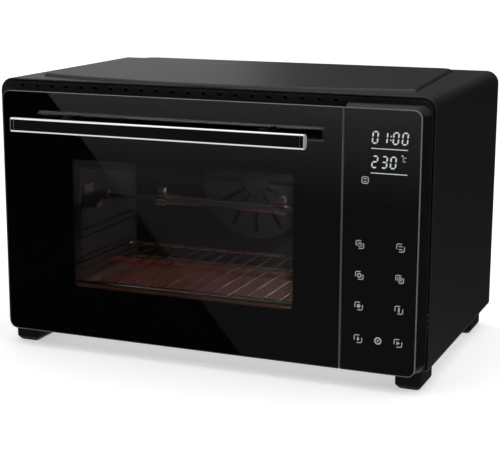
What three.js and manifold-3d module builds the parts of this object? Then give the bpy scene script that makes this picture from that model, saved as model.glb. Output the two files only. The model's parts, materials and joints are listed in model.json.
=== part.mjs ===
// A counter-top toaster oven with a full-glass front, as an assembly of its separate pieces.
//
// Everything is in millimetres. The design frame has X across the front, Y from the glass towards the
// back with 0 on the glass's front face, and Z up from the surface that the feet stand on. At the end
// the whole assembly is moved along Y, so that the origin is below the middle of the overall box.
import * as THREE from "three";
import { mergeVertices } from "three/addons/utils/BufferGeometryUtils.js";
import Module from "manifold-3d";

const wasm = await Module();
wasm.setup();

// ------------------------------------------------------------------ driving dimensions

const GAP = 0.3; // clearance between pieces that touch
const SHEET = 0.8; // steel sheet of the casing, cavity and covers

// Casing
const CASING_WIDTH = 520;
const CASING_DEPTH = 298;
const CASING_HEIGHT = 293.5;
const CASING_CORNER = 15;
const HEM_THICKNESS = 2.8; // folded front edge of the casing
const HEM_DEPTH = 5;
const BOTTOM_FLANGE = 7;

// Raised lid plate pressed into the casing's top
const LID_RISE = 3;
const LID_SLOPE = 3;
const LID_FRONT_SETBACK = 2;
const LID_REAR_SETBACK = 14.5;
const LID_SIDE_MARGIN = 33;
const LID_TAPER = 18; // each side comes in by this much towards the back
const LID_BOW = 33; // how far the lid's front corners sit behind the middle of its bowed front edge
const LID_CORNER = 14;

// Feet
const FOOT_HEIGHT = 24;
const FOOT_WIDTH = 30;
const FOOT_LENGTH = 48;
const FOOT_CHAMFER = 4;
const FOOT_FRONT_INSET = 2; // from the casing's front edge
const FOOT_REAR_INSET = 15;

// Glass front: the door and the control panel share one plane
const GLASS_THICKNESS = 4;
const GLASS_SIDE_INSET = 11;
const GLASS_TOP_REVEAL = 12.5; // strip of the frame seen above the glass
const GLASS_DROP = 3.5; // the glass ends this much below the casing
const GLASS_CORNER = 10;
const PANEL_WIDTH = 83.5;
const PANEL_GAP = 0.6; // slit between the door and the control panel

// Front frame
const FRAME_THICKNESS = 3;
const FRAME_PROUD = 2; // frame's face in front of the casing's edge
const VENT_DIAMETER = 5;
const VENT_PITCH = 19.05;
const VENT_INSET_LEFT = 20; // first hole's centre from the door's left edge
const VENT_INSET_RIGHT = 12; // least distance from the last hole's centre to the door's right edge
const VENT_BELOW_TOP = 7.7;

// Door
const DOOR_DEPTH = 13.9; // glass face to the back of the door's pan
const DOOR_CLEARANCE = 0.6; // from the door's pan to the front frame
const DOOR_SHEET = 0.8;
const DOOR_RIM = 8;
const WINDOW_LEFT_MARGIN = 84; // pan's window edge from the door glass's edges
const WINDOW_RIGHT_MARGIN = 50;
const WINDOW_SILL = 54;
const WINDOW_HEAD = 70.5;
const INNER_GLASS_THICKNESS = 3;
const INNER_GLASS_LAP = 7;
const HINGE_RISE = 8; // hinge axis above the bottom edge of the glass
const HINGE_NOSE_INSET = 0.1; // the pan's rounded bottom edge is this much slimmer than half the pan
const HINGE_PIN_RADIUS = 2.5;
const HINGE_NOTCH_WIDTH = 11;
const HINGE_NOTCH_HEIGHT = 20;

// Handle
const HANDLE_SIDE_INSET = 31; // bar's end from the door's side edge
const HANDLE_HEIGHT = 16.6;
const HANDLE_DEPTH = 10;
const HANDLE_STANDOFF = 24; // clear space between the bar and the glass
const HANDLE_BELOW_TOP = 34.4;
const HANDLE_EDGE_RADIUS = 2.6;
const HANDLE_CAP = 5;
const POST_INSET = 56; // post's axis from the bar's end
const POST_RADIUS = 7;

// Cavity
const CAVITY_LEFT_WALL = 38; // from the casing's left side to the cavity's inner face
const CAVITY_RIGHT_WALL = 114;
const CAVITY_FLOOR = 22; // above the casing's bottom edge
const CAVITY_HEADROOM = 27.5; // below the casing's top
const CAVITY_REAR = 24.5; // in front of the casing's rear edge
const CAVITY_CORNER = 10;
const RIB_HEIGHT = 3;
const RIB_DEPTH = 5;
const RIB_SLOT = 7; // clear height between a pair of ribs, for the rack's side wire
const LOWER_LEVELS = [28.5, 64]; // slots' middles above the cavity's floor
const UPPER_LEVELS = [84, 32]; // slots' middles below the cavity's roof

// Wire rack
const RACK_WIRE = 2.4; // radius of the outer wire
const RACK_THIN_WIRE = 1.5;
const RACK_PITCH = 21;
const RACK_SIDE_CLEARANCE = 2.5;
const RACK_FRONT = 27; // behind the cavity's mouth
const RACK_REAR_CLEARANCE = 7.2; // rear wire's middle to the fan guard

// Crumb tray
const TRAY_HEIGHT = 6;
const TRAY_MARGIN = 8;

// Heating elements
const ELEMENT_RADIUS = 3.5;
const ELEMENT_TOP_DROP = 14;
const ELEMENT_FLOOR_RISE = 14;
const ELEMENT_ROWS = [0.28, 0.72]; // shares of the cavity's depth
const ELEMENT_TAIL = 12;

// Convection fan
const FAN_GUARD_RADIUS = 78;
const FAN_GUARD_DEPTH = 21.7;
const FAN_RADIUS = 58;
const FAN_BLADES = 8;
const FAN_SHAFT_RADIUS = 3;
const COOLING_FAN_RADIUS = 42;
const MOTOR_SIZE = 52;
const MOTOR_DEPTH = 17;

// Rear cover
const REAR_BULGE = 11.5; // how far the motor's bulge stands behind the casing
const BULGE_WIDTH = 150;
const BULGE_CORNER = 22;
const BULGE_DRAFT = 6;

// Rotisserie
const SPIT_DROP = 8; // axis below the cavity's middle height
const SPIT_FORWARD = 2; // axis in front of the cavity's middle depth
const SPIT_WIDTH = 5.5;
const SPIT_COUPLING_RADIUS = 9;
const FORK_OFFSET = 79; // each fork from the middle of the cavity
const FORK_SPAN = 44;
const FORK_TINE = 62;
const SPIT_MOTOR_SIZE = 56;
const SPIT_MOTOR_DEPTH = 26;

// Lamp
const LAMP_RADIUS = 19;
const LAMP_DROP = 58; // below the cavity's roof
const LAMP_FROM_BACK = 58;

// ------------------------------------------------------------------ places worked out from them

const LEFT = -CASING_WIDTH / 2;
const RIGHT = CASING_WIDTH / 2;
const CASING_FRONT = DOOR_DEPTH + DOOR_CLEARANCE + FRAME_PROUD;
const CASING_BACK = CASING_FRONT + CASING_DEPTH;
const CASING_BASE = FOOT_HEIGHT;
const CASING_TOP = CASING_BASE + CASING_HEIGHT;

const GLASS_BASE = CASING_BASE - GLASS_DROP;
const GLASS_TOP = CASING_TOP - GLASS_TOP_REVEAL;
const DOOR_LEFT = LEFT + GLASS_SIDE_INSET;
const PANEL_RIGHT = RIGHT - GLASS_SIDE_INSET;
const PANEL_LEFT = PANEL_RIGHT - PANEL_WIDTH;
const DOOR_RIGHT = PANEL_LEFT - PANEL_GAP;
const PAN_FRONT = GLASS_THICKNESS + GAP;
const HINGE_Y = (PAN_FRONT + DOOR_DEPTH) / 2;
const HINGE_Z = GLASS_BASE + HINGE_RISE;
const HINGE_NOSE_RADIUS = (DOOR_DEPTH - PAN_FRONT) / 2 - HINGE_NOSE_INSET;

const FRAME_FRONT = CASING_FRONT - FRAME_PROUD;
const FRAME_BACK = FRAME_FRONT + FRAME_THICKNESS;

const CAVITY = {
  left: LEFT + CAVITY_LEFT_WALL,
  right: RIGHT - CAVITY_RIGHT_WALL,
  front: FRAME_BACK + GAP,
  back: CASING_BACK - CAVITY_REAR,
  floor: CASING_BASE + CAVITY_FLOOR,
  roof: CASING_TOP - CAVITY_HEADROOM,
};
const CAVITY_MIDDLE = (CAVITY.left + CAVITY.right) / 2;
const CAVITY_DEPTH = CAVITY.back - CAVITY.front;
const RACK_LEVELS = [
  ...LOWER_LEVELS.map((rise) => CAVITY.floor + rise),
  ...UPPER_LEVELS.map((drop) => CAVITY.roof - drop),
];

const FAN_Z = (CAVITY.floor + CAVITY.roof) / 2;
const GUARD_FRONT = CAVITY.back - FAN_GUARD_DEPTH - GAP;
const SPIT_Y = (CAVITY.front + CAVITY.back) / 2 - SPIT_FORWARD;
const SPIT_Z = FAN_Z - SPIT_DROP;
const LAMP_Y = CAVITY.back - LAMP_FROM_BACK;
const LAMP_Z = CAVITY.roof - LAMP_DROP;
const HANDLE_LEFT = DOOR_LEFT + HANDLE_SIDE_INSET;
const HANDLE_RIGHT = DOOR_RIGHT - HANDLE_SIDE_INSET;
const HANDLE_Z = GLASS_TOP - HANDLE_BELOW_TOP;
const REAR_COVER_BACK = CASING_BACK - SHEET;
const BULGE_BACK = CASING_BACK + REAR_BULGE;
const OVERALL_FRONT = -(HANDLE_STANDOFF + HANDLE_DEPTH);

// ------------------------------------------------------------------ finishes

const finish = (color, roughness, metalness, extra = {}) =>
  new THREE.MeshStandardMaterial({ color, roughness, metalness, ...extra });

const FINISHES = {
  casing: () => finish(0x17181a, 0.5, 0.2),
  blackPlastic: () => finish(0x0c0c0d, 0.35, 0),
  darkPlastic: () => finish(0x141414, 0.6, 0),
  glass: () => finish(0x050506, 0.05, 0, { transparent: true, opacity: 0.75 }),
  clearGlass: () => finish(0x9aa0a0, 0.05, 0, { transparent: true, opacity: 0.3 }),
  chrome: () => finish(0xe6e6e8, 0.12, 1),
  steel: () => finish(0x9c9da0, 0.4, 0.9),
  enamel: () => finish(0x3a3b3d, 0.45, 0.3),
  aluminised: () => finish(0x85878a, 0.5, 0.8),
  element: () => finish(0x5d4a42, 0.6, 0.6),
  rubber: () => finish(0x101010, 0.85, 0),
  circuit: () => finish(0x1d4a2c, 0.6, 0),
  display: () => finish(0x15181a, 0.3, 0),
  ceramic: () => finish(0xd8d4cb, 0.7, 0),
};

// ------------------------------------------------------------------ solids

/** A closed geometry as a solid that can be joined and cut. */
function solid(geometry) {
  const bare = new THREE.BufferGeometry();
  bare.setAttribute("position", geometry.getAttribute("position"));
  bare.setIndex(geometry.index);
  const merged = mergeVertices(bare, 1e-4);
  return new wasm.Manifold(
    new wasm.Mesh({
      numProp: 3,
      vertProperties: new Float32Array(merged.getAttribute("position").array),
      triVerts: new Uint32Array(merged.index.array),
    }),
  );
}

/** A solid's surface as a geometry. */
function surface(body) {
  const mesh = body.getMesh();
  const geometry = new THREE.BufferGeometry();
  geometry.setAttribute("position", new THREE.BufferAttribute(mesh.vertProperties, 3));
  geometry.setIndex(new THREE.BufferAttribute(mesh.triVerts, 1));
  geometry.computeVertexNormals();
  return geometry;
}

const join = (bodies) => bodies.reduce((whole, body) => whole.add(body));
const cut = (body, tools) => tools.reduce((left, tool) => left.subtract(tool), body);

/** A block between two corners. */
function block(x0, x1, y0, y1, z0, z1) {
  const geometry = new THREE.BoxGeometry(x1 - x0, y1 - y0, z1 - z0);
  geometry.translate((x0 + x1) / 2, (y0 + y1) / 2, (z0 + z1) / 2);
  return solid(geometry);
}

/** A round bar along X, Y or Z from one end to the other. */
function bar(axis, from, to, [u, v], radius, sides = 12, endRadius = radius) {
  const geometry = new THREE.CylinderGeometry(endRadius, radius, to - from, sides);
  const middle = (from + to) / 2;
  if (axis === "x") {
    geometry.rotateZ(-Math.PI / 2);
    geometry.translate(middle, u, v);
  } else if (axis === "y") {
    geometry.translate(u, middle, v);
  } else {
    geometry.rotateX(Math.PI / 2);
    geometry.translate(u, v, middle);
  }
  return solid(geometry);
}

/** A rectangle with a radius for each corner: lower left, lower right, upper right, upper left. */
function roundedRectangle(x0, x1, z0, z1, radii) {
  const [ll, lr, ur, ul] = typeof radii === "number" ? [radii, radii, radii, radii] : radii;
  const shape = new THREE.Shape();
  shape.moveTo(x0 + ll, z0);
  shape.lineTo(x1 - lr, z0);
  if (lr) shape.absarc(x1 - lr, z0 + lr, lr, -Math.PI / 2, 0, false);
  shape.lineTo(x1, z1 - ur);
  if (ur) shape.absarc(x1 - ur, z1 - ur, ur, 0, Math.PI / 2, false);
  shape.lineTo(x0 + ul, z1);
  if (ul) shape.absarc(x0 + ul, z1 - ul, ul, Math.PI / 2, Math.PI, false);
  shape.lineTo(x0, z0 + ll);
  if (ll) shape.absarc(x0 + ll, z0 + ll, ll, Math.PI, 1.5 * Math.PI, false);
  return shape;
}

/** An outline in X and Z, drawn out along Y. */
function alongY(shape, y0, y1, curveSegments = 4) {
  const geometry = new THREE.ExtrudeGeometry(shape, {
    depth: y1 - y0,
    bevelEnabled: false,
    curveSegments,
  });
  geometry.rotateX(Math.PI / 2);
  geometry.translate(0, y1, 0);
  return solid(geometry);
}

/** An outline in Y and Z, drawn out along X. */
function alongX(shape, x0, x1, curveSegments = 4) {
  const geometry = new THREE.ExtrudeGeometry(shape, {
    depth: x1 - x0,
    bevelEnabled: false,
    curveSegments,
  });
  geometry.rotateX(Math.PI / 2);
  geometry.rotateZ(Math.PI / 2);
  geometry.translate(x0, 0, 0);
  return solid(geometry);
}

/** A solid between two outlines of the same number of points; place turns a point into X, Y, Z. */
function loft(first, last, placeFirst, placeLast) {
  const positions = [...first.map(placeFirst), ...last.map(placeLast)].flatMap((p) => p.toArray());
  const n = first.length;
  const caps = THREE.ShapeUtils.triangulateShape(first, []);
  const index = [];
  for (const [a, b, c] of caps) index.push(a, c, b, a + n, b + n, c + n);
  for (let i = 0; i < n; i++) {
    const j = (i + 1) % n;
    index.push(i, j, j + n, i, j + n, i + n);
  }
  const geometry = new THREE.BufferGeometry();
  geometry.setAttribute("position", new THREE.Float32BufferAttribute(positions, 3));
  geometry.setIndex(index);
  return solid(geometry);
}

/** The points of a closed outline, without the repeated last one. */
function outlinePoints(shape, divisions = 4) {
  const points = shape.getPoints(divisions);
  const distinct = points.filter((p, i) => i === 0 || p.distanceTo(points[i - 1]) > 1e-6);
  if (distinct[0].distanceTo(distinct[distinct.length - 1]) < 1e-6) distinct.pop();
  return distinct;
}

const atHeight = (z) => (p) => new THREE.Vector3(p.x, p.y, z);
const atDepth = (y) => (p) => new THREE.Vector3(p.x, y, p.y);

/** A loft between two outlines that lie across Z. */
function loftUp(lower, z0, upper, z1, divisions = 4) {
  return loft(outlinePoints(lower, divisions), outlinePoints(upper, divisions), atHeight(z0), atHeight(z1));
}

/** A loft between two outlines that lie across Y. */
function loftBack(front, y0, back, y1) {
  return loft(outlinePoints(back), outlinePoints(front), atDepth(y1), atDepth(y0));
}

// ------------------------------------------------------------------ assembly

const oven = new THREE.Group();
oven.position.y = -(OVERALL_FRONT + BULGE_BACK) / 2;

/** Adds one named piece to the oven. */
function piece(name, body, finishName) {
  const mesh = new THREE.Mesh(surface(body), FINISHES[finishName]());
  mesh.name = name;
  oven.add(mesh);
}

// ------------------------------------------------------------------ casing

/** The casing's section, a set distance inside its outer face. */
function casingSection(inset) {
  const radii = [0, 0, CASING_CORNER - inset, CASING_CORNER - inset];
  return roundedRectangle(LEFT + inset, RIGHT - inset, CASING_BASE + inset, CASING_TOP - inset, radii);
}

/** The lid's outline: bowed in front, narrower at the back, with rounded corners. */
function lidOutline(inset) {
  const front = CASING_FRONT + LID_FRONT_SETBACK + inset;
  const back = CASING_BACK - LID_REAR_SETBACK - inset;
  const wide = CASING_WIDTH / 2 - LID_SIDE_MARGIN - inset;
  const narrow = wide - LID_TAPER;
  const side = front + LID_BOW;
  const shape = new THREE.Shape();
  shape.moveTo(-wide + LID_CORNER, side - LID_CORNER / 4);
  shape.quadraticCurveTo(0, 2 * front - side, wide - LID_CORNER, side - LID_CORNER / 4);
  shape.quadraticCurveTo(wide, side, wide, side + LID_CORNER);
  shape.lineTo(narrow, back - LID_CORNER);
  shape.quadraticCurveTo(narrow, back, narrow - LID_CORNER, back);
  shape.lineTo(-narrow + LID_CORNER, back);
  shape.quadraticCurveTo(-narrow, back, -narrow, back - LID_CORNER);
  shape.lineTo(-wide, side + LID_CORNER);
  shape.quadraticCurveTo(-wide, side, -wide + LID_CORNER, side - LID_CORNER / 4);
  return shape;
}

function casingWrapper() {
  const skin = alongY(casingSection(0), CASING_FRONT, CASING_BACK, 6);
  const hollow = alongY(casingSection(SHEET), CASING_FRONT + HEM_DEPTH, CASING_BACK + 1, 6);
  const mouth = alongY(casingSection(HEM_THICKNESS), CASING_FRONT - 1, CASING_FRONT + HEM_DEPTH + 1, 6);
  const edge = CASING_WIDTH / 2 - SHEET - BOTTOM_FLANGE;
  const under = block(-edge, edge, CASING_FRONT - 1, CASING_BACK + 1, CASING_BASE - 1, CASING_BASE + 5);
  const lidTop = CASING_TOP + LID_RISE;
  const raised = loftUp(lidOutline(0), CASING_TOP - SHEET / 2, lidOutline(LID_SLOPE), lidTop, 8);
  const wall = 2 * SHEET;
  const [rim, floor] = [lidOutline(wall), lidOutline(LID_SLOPE + wall)];
  const dished = loftUp(rim, CASING_TOP - wall, floor, lidTop - SHEET, 8);
  return cut(skin.add(raised), [hollow, mouth, under, dished]);
}

function bottomPlate() {
  const reach = CASING_WIDTH / 2 - SHEET - GAP;
  const base = CASING_BASE + SHEET + GAP;
  const front = CASING_FRONT + HEM_DEPTH + GAP;
  const plate = block(-reach, reach, front, REAR_COVER_BACK - SHEET - GAP, base, base + SHEET);
  const holes = FEET.map(({ x, y }) => bar("z", base - 1, base + SHEET + 1, [x, y], 2 + GAP, 10));
  const slots = [];
  for (let i = 0; i < 6; i++) {
    const y = CASING_FRONT + CASING_DEPTH * (0.3 + 0.08 * i);
    const right = RIGHT - 0.07 * CASING_WIDTH;
    slots.push(block(right - 0.08 * CASING_WIDTH, right, y, y + 4, base - 1, base + SHEET + 1));
  }
  return cut(plate, [...holes, ...slots]);
}

/** Four feet, by name and the middle of each. */
const FOOT_X = CASING_WIDTH / 2 - SHEET - BOTTOM_FLANGE - GAP - FOOT_WIDTH / 2;
const FOOT_FRONT_Y = CASING_FRONT + FOOT_FRONT_INSET + FOOT_LENGTH / 2;
const FOOT_REAR_Y = CASING_BACK - FOOT_REAR_INSET - FOOT_LENGTH / 2;
const FEET = [
  { where: "front_left", x: -FOOT_X, y: FOOT_FRONT_Y },
  { where: "front_right", x: FOOT_X, y: FOOT_FRONT_Y },
  { where: "rear_left", x: -FOOT_X, y: FOOT_REAR_Y },
  { where: "rear_right", x: FOOT_X, y: FOOT_REAR_Y },
];

function foot({ x, y }) {
  const outline = (inset) => {
    const half = [FOOT_WIDTH / 2 - inset, FOOT_LENGTH / 2 - inset];
    return roundedRectangle(x - half[0], x + half[0], y - half[1], y + half[1], 4);
  };
  const top = CASING_BASE + SHEET;
  const sole = loftUp(outline(FOOT_CHAMFER), 0, outline(0), FOOT_CHAMFER);
  const body = loftUp(outline(0), FOOT_CHAMFER, outline(0), top);
  const counterbore = bar("z", -1, 9, [x, y], 6, 12);
  const hole = bar("z", 8, top + 1, [x, y], 2 + GAP, 10);
  return cut(sole.add(body), [counterbore, hole]);
}

function footScrew({ x, y }) {
  const head = bar("z", 6, 9 - GAP, [x, y], 4.2, 12);
  const shank = bar("z", 8, CASING_BASE + 3 * SHEET + 4, [x, y], 2, 10);
  return head.add(shank);
}

// ------------------------------------------------------------------ front frame and cavity

/** The cavity's section across Y, grown by a margin. */
function cavitySection(margin) {
  const { left, right, floor, roof } = CAVITY;
  const corner = CAVITY_CORNER + margin;
  return roundedRectangle(left - margin, right + margin, floor - margin, roof + margin, corner);
}

/** Where the chamber for the electrics begins and ends, to the right of the cavity. */
const CHAMBER = {
  left: PANEL_LEFT + 14,
  right: PANEL_RIGHT - 12,
  floor: GLASS_BASE + 40,
  roof: GLASS_TOP - 20,
};

function frontFrame() {
  const inset = HEM_THICKNESS + GAP;
  const corner = CASING_CORNER - inset;
  const edge = [3, 3, corner, corner];
  const top = CASING_TOP - inset;
  const outer = roundedRectangle(LEFT + inset, RIGHT - inset, CASING_BASE + inset, top, edge);
  const plate = alongY(outer, FRAME_FRONT, FRAME_BACK, 6);
  const through = [FRAME_FRONT - 1, FRAME_BACK + 1];
  const mouth = alongY(cavitySection(0), ...through);
  const hatch = block(CHAMBER.left, CHAMBER.right, ...through, CHAMBER.floor, CHAMBER.roof);
  const vents = [];
  for (let x = DOOR_LEFT + VENT_INSET_LEFT; x <= DOOR_RIGHT - VENT_INSET_RIGHT; x += VENT_PITCH) {
    vents.push(bar("y", ...through, [x, CASING_TOP - VENT_BELOW_TOP], VENT_DIAMETER / 2, 10));
  }
  return cut(plate, [mouth, hatch, ...vents]);
}

const ELEMENTS = [
  { name: "upper_element_front", row: 0, z: CAVITY.roof - ELEMENT_TOP_DROP },
  { name: "upper_element_rear", row: 1, z: CAVITY.roof - ELEMENT_TOP_DROP },
  { name: "lower_element_front", row: 0, z: CAVITY.floor + ELEMENT_FLOOR_RISE },
  { name: "lower_element_rear", row: 1, z: CAVITY.floor + ELEMENT_FLOOR_RISE },
].map((element) => ({ ...element, y: CAVITY.front + CAVITY_DEPTH * ELEMENT_ROWS[element.row] }));

const PROBE = { x: CAVITY.right - 56, z: CAVITY.roof - 30, radius: 2.5 };

function cavityLiner() {
  const shell = alongY(cavitySection(SHEET), CAVITY.front, CAVITY.back + SHEET);
  const inside = alongY(cavitySection(0), CAVITY.front - 1, CAVITY.back);
  const ribs = [];
  const ribFront = CAVITY.front + 8;
  const ribBack = CAVITY.back - FAN_GUARD_DEPTH;
  for (const level of RACK_LEVELS) {
    for (const side of [-1, 1]) {
      const wall = side < 0 ? CAVITY.left : CAVITY.right;
      const [x0, x1] = [wall - side * RIB_DEPTH, wall + side * (SHEET / 2)].sort((a, b) => a - b);
      for (const above of [-1, 1]) {
        const z = level + (above * (RIB_SLOT + RIB_HEIGHT)) / 2;
        ribs.push(block(x0, x1, ribFront, ribBack, z - RIB_HEIGHT / 2, z + RIB_HEIGHT / 2));
      }
    }
  }
  const holes = ELEMENTS.map(({ y, z }) =>
    bar("x", CAVITY.left - 5, CAVITY.right + 5, [y, z], ELEMENT_RADIUS + 0.7, 10),
  );
  holes.push(bar("x", CAVITY.right - 2, CAVITY.right + 5, [SPIT_Y, SPIT_Z], SPIT_COUPLING_RADIUS + 1, 14));
  holes.push(bar("x", CAVITY.right - 2, CAVITY.right + 5, [LAMP_Y, LAMP_Z], LAMP_RADIUS - 2, 16));
  holes.push(bar("y", CAVITY.back - 2, CAVITY.back + 5, [CAVITY_MIDDLE, FAN_Z], FAN_SHAFT_RADIUS + 3, 12));
  holes.push(bar("y", CAVITY.back - 2, CAVITY.back + 5, [PROBE.x, PROBE.z], PROBE.radius + GAP, 10));
  return cut(cut(shell, [inside]).add(join(ribs)), holes);
}

function heatShield() {
  const x = CAVITY.right + SHEET + SPIT_MOTOR_DEPTH + 11;
  return block(x, x + SHEET, FRAME_BACK + 5, REAR_COVER_BACK - 8, CAVITY.floor - 15, CAVITY.roof + 8);
}

function heatingElement({ y, z }) {
  const rod = bar("x", CAVITY.left - ELEMENT_TAIL, CAVITY.right + ELEMENT_TAIL, [y, z], ELEMENT_RADIUS, 10);
  const bushes = [
    [CAVITY.left - SHEET - GAP - 6, CAVITY.left - SHEET - GAP],
    [CAVITY.right + SHEET + GAP, CAVITY.right + SHEET + GAP + 6],
  ].map(([from, to]) => bar("x", from, to, [y, z], 2 * ELEMENT_RADIUS, 12));
  return join([rod, ...bushes]);
}

function wireRack() {
  const left = CAVITY.left + RACK_SIDE_CLEARANCE + RACK_WIRE;
  const right = CAVITY.right - RACK_SIDE_CLEARANCE - RACK_WIRE;
  const front = CAVITY.front + RACK_FRONT;
  const back = GUARD_FRONT - RACK_REAR_CLEARANCE;
  const z = RACK_LEVELS[0];
  const brace = front + 0.66 * (back - front);
  const wires = [
    bar("x", left - RACK_WIRE, right + RACK_WIRE, [front, z], RACK_WIRE, 8),
    bar("x", left - RACK_WIRE, right + RACK_WIRE, [back, z], RACK_WIRE, 8),
    bar("y", front, back, [left, z], RACK_WIRE, 8),
    bar("y", front, back, [right, z], RACK_WIRE, 8),
    bar("x", left, right, [brace, z - 2], RACK_THIN_WIRE, 6),
  ];
  const bays = Math.round((right - left) / RACK_PITCH);
  for (let i = 1; i < bays; i++) {
    const x = left + ((right - left) * i) / bays;
    wires.push(bar("y", front - 1, back + 1, [x, z + 0.6], RACK_THIN_WIRE, 6));
  }
  return join(wires);
}

function crumbTray() {
  const { left, right, front, back, floor } = CAVITY;
  const base = floor + GAP;
  const reach = [left + TRAY_MARGIN, right - TRAY_MARGIN, front + TRAY_MARGIN, back - TRAY_MARGIN];
  const pan = block(...reach, base, base + TRAY_HEIGHT);
  const inset = reach.map((value, i) => value + (i % 2 ? -SHEET : SHEET));
  return cut(pan, [block(...inset, base + SHEET, base + TRAY_HEIGHT + 1)]);
}

// ------------------------------------------------------------------ door

const HINGE_ENDS = [
  { where: "left", outer: DOOR_LEFT + 2, inner: DOOR_LEFT + 2 + HINGE_NOTCH_WIDTH, side: -1 },
  { where: "right", outer: DOOR_RIGHT - 2, inner: DOOR_RIGHT - 2 - HINGE_NOTCH_WIDTH, side: 1 },
];
const POSTS = [
  { where: "left", x: HANDLE_LEFT + POST_INSET },
  { where: "right", x: HANDLE_RIGHT - POST_INSET },
];
const SCREW_RADIUS = 2.5;

function doorOuterGlass() {
  const radii = [GLASS_CORNER, 1, 1, GLASS_CORNER];
  const pane = roundedRectangle(DOOR_LEFT, DOOR_RIGHT, GLASS_BASE, GLASS_TOP, radii);
  const radius = SCREW_RADIUS + 0.7;
  const holes = POSTS.map(({ x }) => bar("y", -1, GLASS_THICKNESS + 1, [x, HANDLE_Z], radius, 10));
  return cut(alongY(pane, 0, GLASS_THICKNESS), holes);
}

const DOOR_WINDOW = {
  left: DOOR_LEFT + WINDOW_LEFT_MARGIN,
  right: DOOR_RIGHT - WINDOW_RIGHT_MARGIN,
  sill: GLASS_BASE + WINDOW_SILL,
  head: GLASS_TOP - WINDOW_HEAD,
};

function doorFrame() {
  const left = DOOR_LEFT + 1.5;
  const right = DOOR_RIGHT - 1.5;
  const top = GLASS_TOP - 1.5;
  const corners = [0, 0, 1, GLASS_CORNER - 1.5];
  const pan = alongY(roundedRectangle(left, right, HINGE_Z, top, corners), PAN_FRONT, DOOR_DEPTH);
  const rim = roundedRectangle(left + DOOR_RIM, right - DOOR_RIM, HINGE_Z + DOOR_RIM, top - DOOR_RIM, 2);
  const hollow = alongY(rim, PAN_FRONT - 1, DOOR_DEPTH - DOOR_SHEET);
  const { left: x0, right: x1, sill, head } = DOOR_WINDOW;
  const window = alongY(roundedRectangle(x0, x1, sill, head, 6), PAN_FRONT - 1, DOOR_DEPTH + 1);
  const nose = bar("x", left, right, [HINGE_Y, HINGE_Z], HINGE_NOSE_RADIUS, 16);
  const cuts = [hollow, window];
  for (const { outer, inner, side } of HINGE_ENDS) {
    const [x0, x1] = [outer + side * 5, inner].sort((a, b) => a - b);
    cuts.push(block(x0, x1, PAN_FRONT - 1, DOOR_DEPTH + 1, GLASS_BASE, HINGE_Z + HINGE_NOTCH_HEIGHT));
    const [from, to] = [inner + side, inner - side * 9].sort((a, b) => a - b);
    cuts.push(bar("x", from, to, [HINGE_Y, HINGE_Z], HINGE_PIN_RADIUS + GAP, 12));
  }
  return cut(pan.add(nose), cuts);
}

function doorInnerGlass() {
  const { left, right, sill, head } = DOOR_WINDOW;
  const lap = INNER_GLASS_LAP;
  const pane = roundedRectangle(left - lap, right + lap, sill - lap, head + lap, 6);
  const back = DOOR_DEPTH - DOOR_SHEET - GAP;
  return alongY(pane, back - INNER_GLASS_THICKNESS, back);
}

function hingePin({ outer, inner, side }) {
  const [from, to] = [outer, inner - side * 8].sort((a, b) => a - b);
  return bar("x", from, to, [HINGE_Y, HINGE_Z], HINGE_PIN_RADIUS, 12);
}

function hingeBracket({ outer, inner, side }) {
  const middle = (outer + inner) / 2;
  const back = FRAME_FRONT - GAP;
  const nose = HINGE_NOSE_RADIUS - GAP;
  const ear = [
    bar("x", middle - 1, middle + 1, [HINGE_Y, HINGE_Z], nose, 14),
    block(middle - 1, middle + 1, HINGE_Y, back, HINGE_Z - nose, HINGE_Z + nose),
  ];
  const [x0, x1] = [middle - side, inner + side * 0.8].sort((a, b) => a - b);
  const flange = block(x0, x1, back - 2, back, HINGE_Z - nose + 0.5, HINGE_Z + HINGE_NOTCH_HEIGHT - 2);
  const bore = bar("x", middle - 3, middle + 3, [HINGE_Y, HINGE_Z], HINGE_PIN_RADIUS + GAP, 12);
  return cut(join([...ear, flange]), [bore]);
}

/** The handle's section: flat in front with eased edges, and a shallow curve behind. */
function handleSection() {
  const half = HANDLE_HEIGHT / 2;
  const front = OVERALL_FRONT;
  const shoulder = front + HANDLE_EDGE_RADIUS;
  const back = front + HANDLE_DEPTH;
  const shape = new THREE.Shape();
  shape.moveTo(front, HANDLE_Z + half - HANDLE_EDGE_RADIUS);
  shape.lineTo(front, HANDLE_Z - half + HANDLE_EDGE_RADIUS);
  shape.quadraticCurveTo(front, HANDLE_Z - half, shoulder, HANDLE_Z - half);
  shape.bezierCurveTo(back, HANDLE_Z - half, back, HANDLE_Z - half / 2, back, HANDLE_Z);
  shape.bezierCurveTo(back, HANDLE_Z + half / 2, back, HANDLE_Z + half, shoulder, HANDLE_Z + half);
  shape.quadraticCurveTo(front, HANDLE_Z + half, front, HANDLE_Z + half - HANDLE_EDGE_RADIUS);
  return shape;
}

function handleBar() {
  return alongX(handleSection(), HANDLE_LEFT + HANDLE_CAP, HANDLE_RIGHT - HANDLE_CAP, 5);
}

function handleCap(side) {
  const end = side < 0 ? HANDLE_LEFT : HANDLE_RIGHT;
  const [from, to] = [end, end - side * (HANDLE_CAP - GAP)].sort((a, b) => a - b);
  return alongX(handleSection(), from, to, 5);
}

function handlePost({ x }) {
  const front = -HANDLE_STANDOFF + GAP;
  const post = bar("y", front, -GAP, [x, HANDLE_Z], POST_RADIUS, 16, POST_RADIUS + 2);
  const bore = bar("y", front + 6, 1, [x, HANDLE_Z], SCREW_RADIUS + GAP, 10);
  return cut(post, [bore]);
}

function handleScrew({ x }) {
  const head = bar("y", GLASS_THICKNESS + GAP, GLASS_THICKNESS + 3, [x, HANDLE_Z], 2 * SCREW_RADIUS, 12);
  const shank = bar("y", -12, GLASS_THICKNESS + 1, [x, HANDLE_Z], SCREW_RADIUS, 10);
  return head.add(shank);
}

// ------------------------------------------------------------------ control panel

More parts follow.
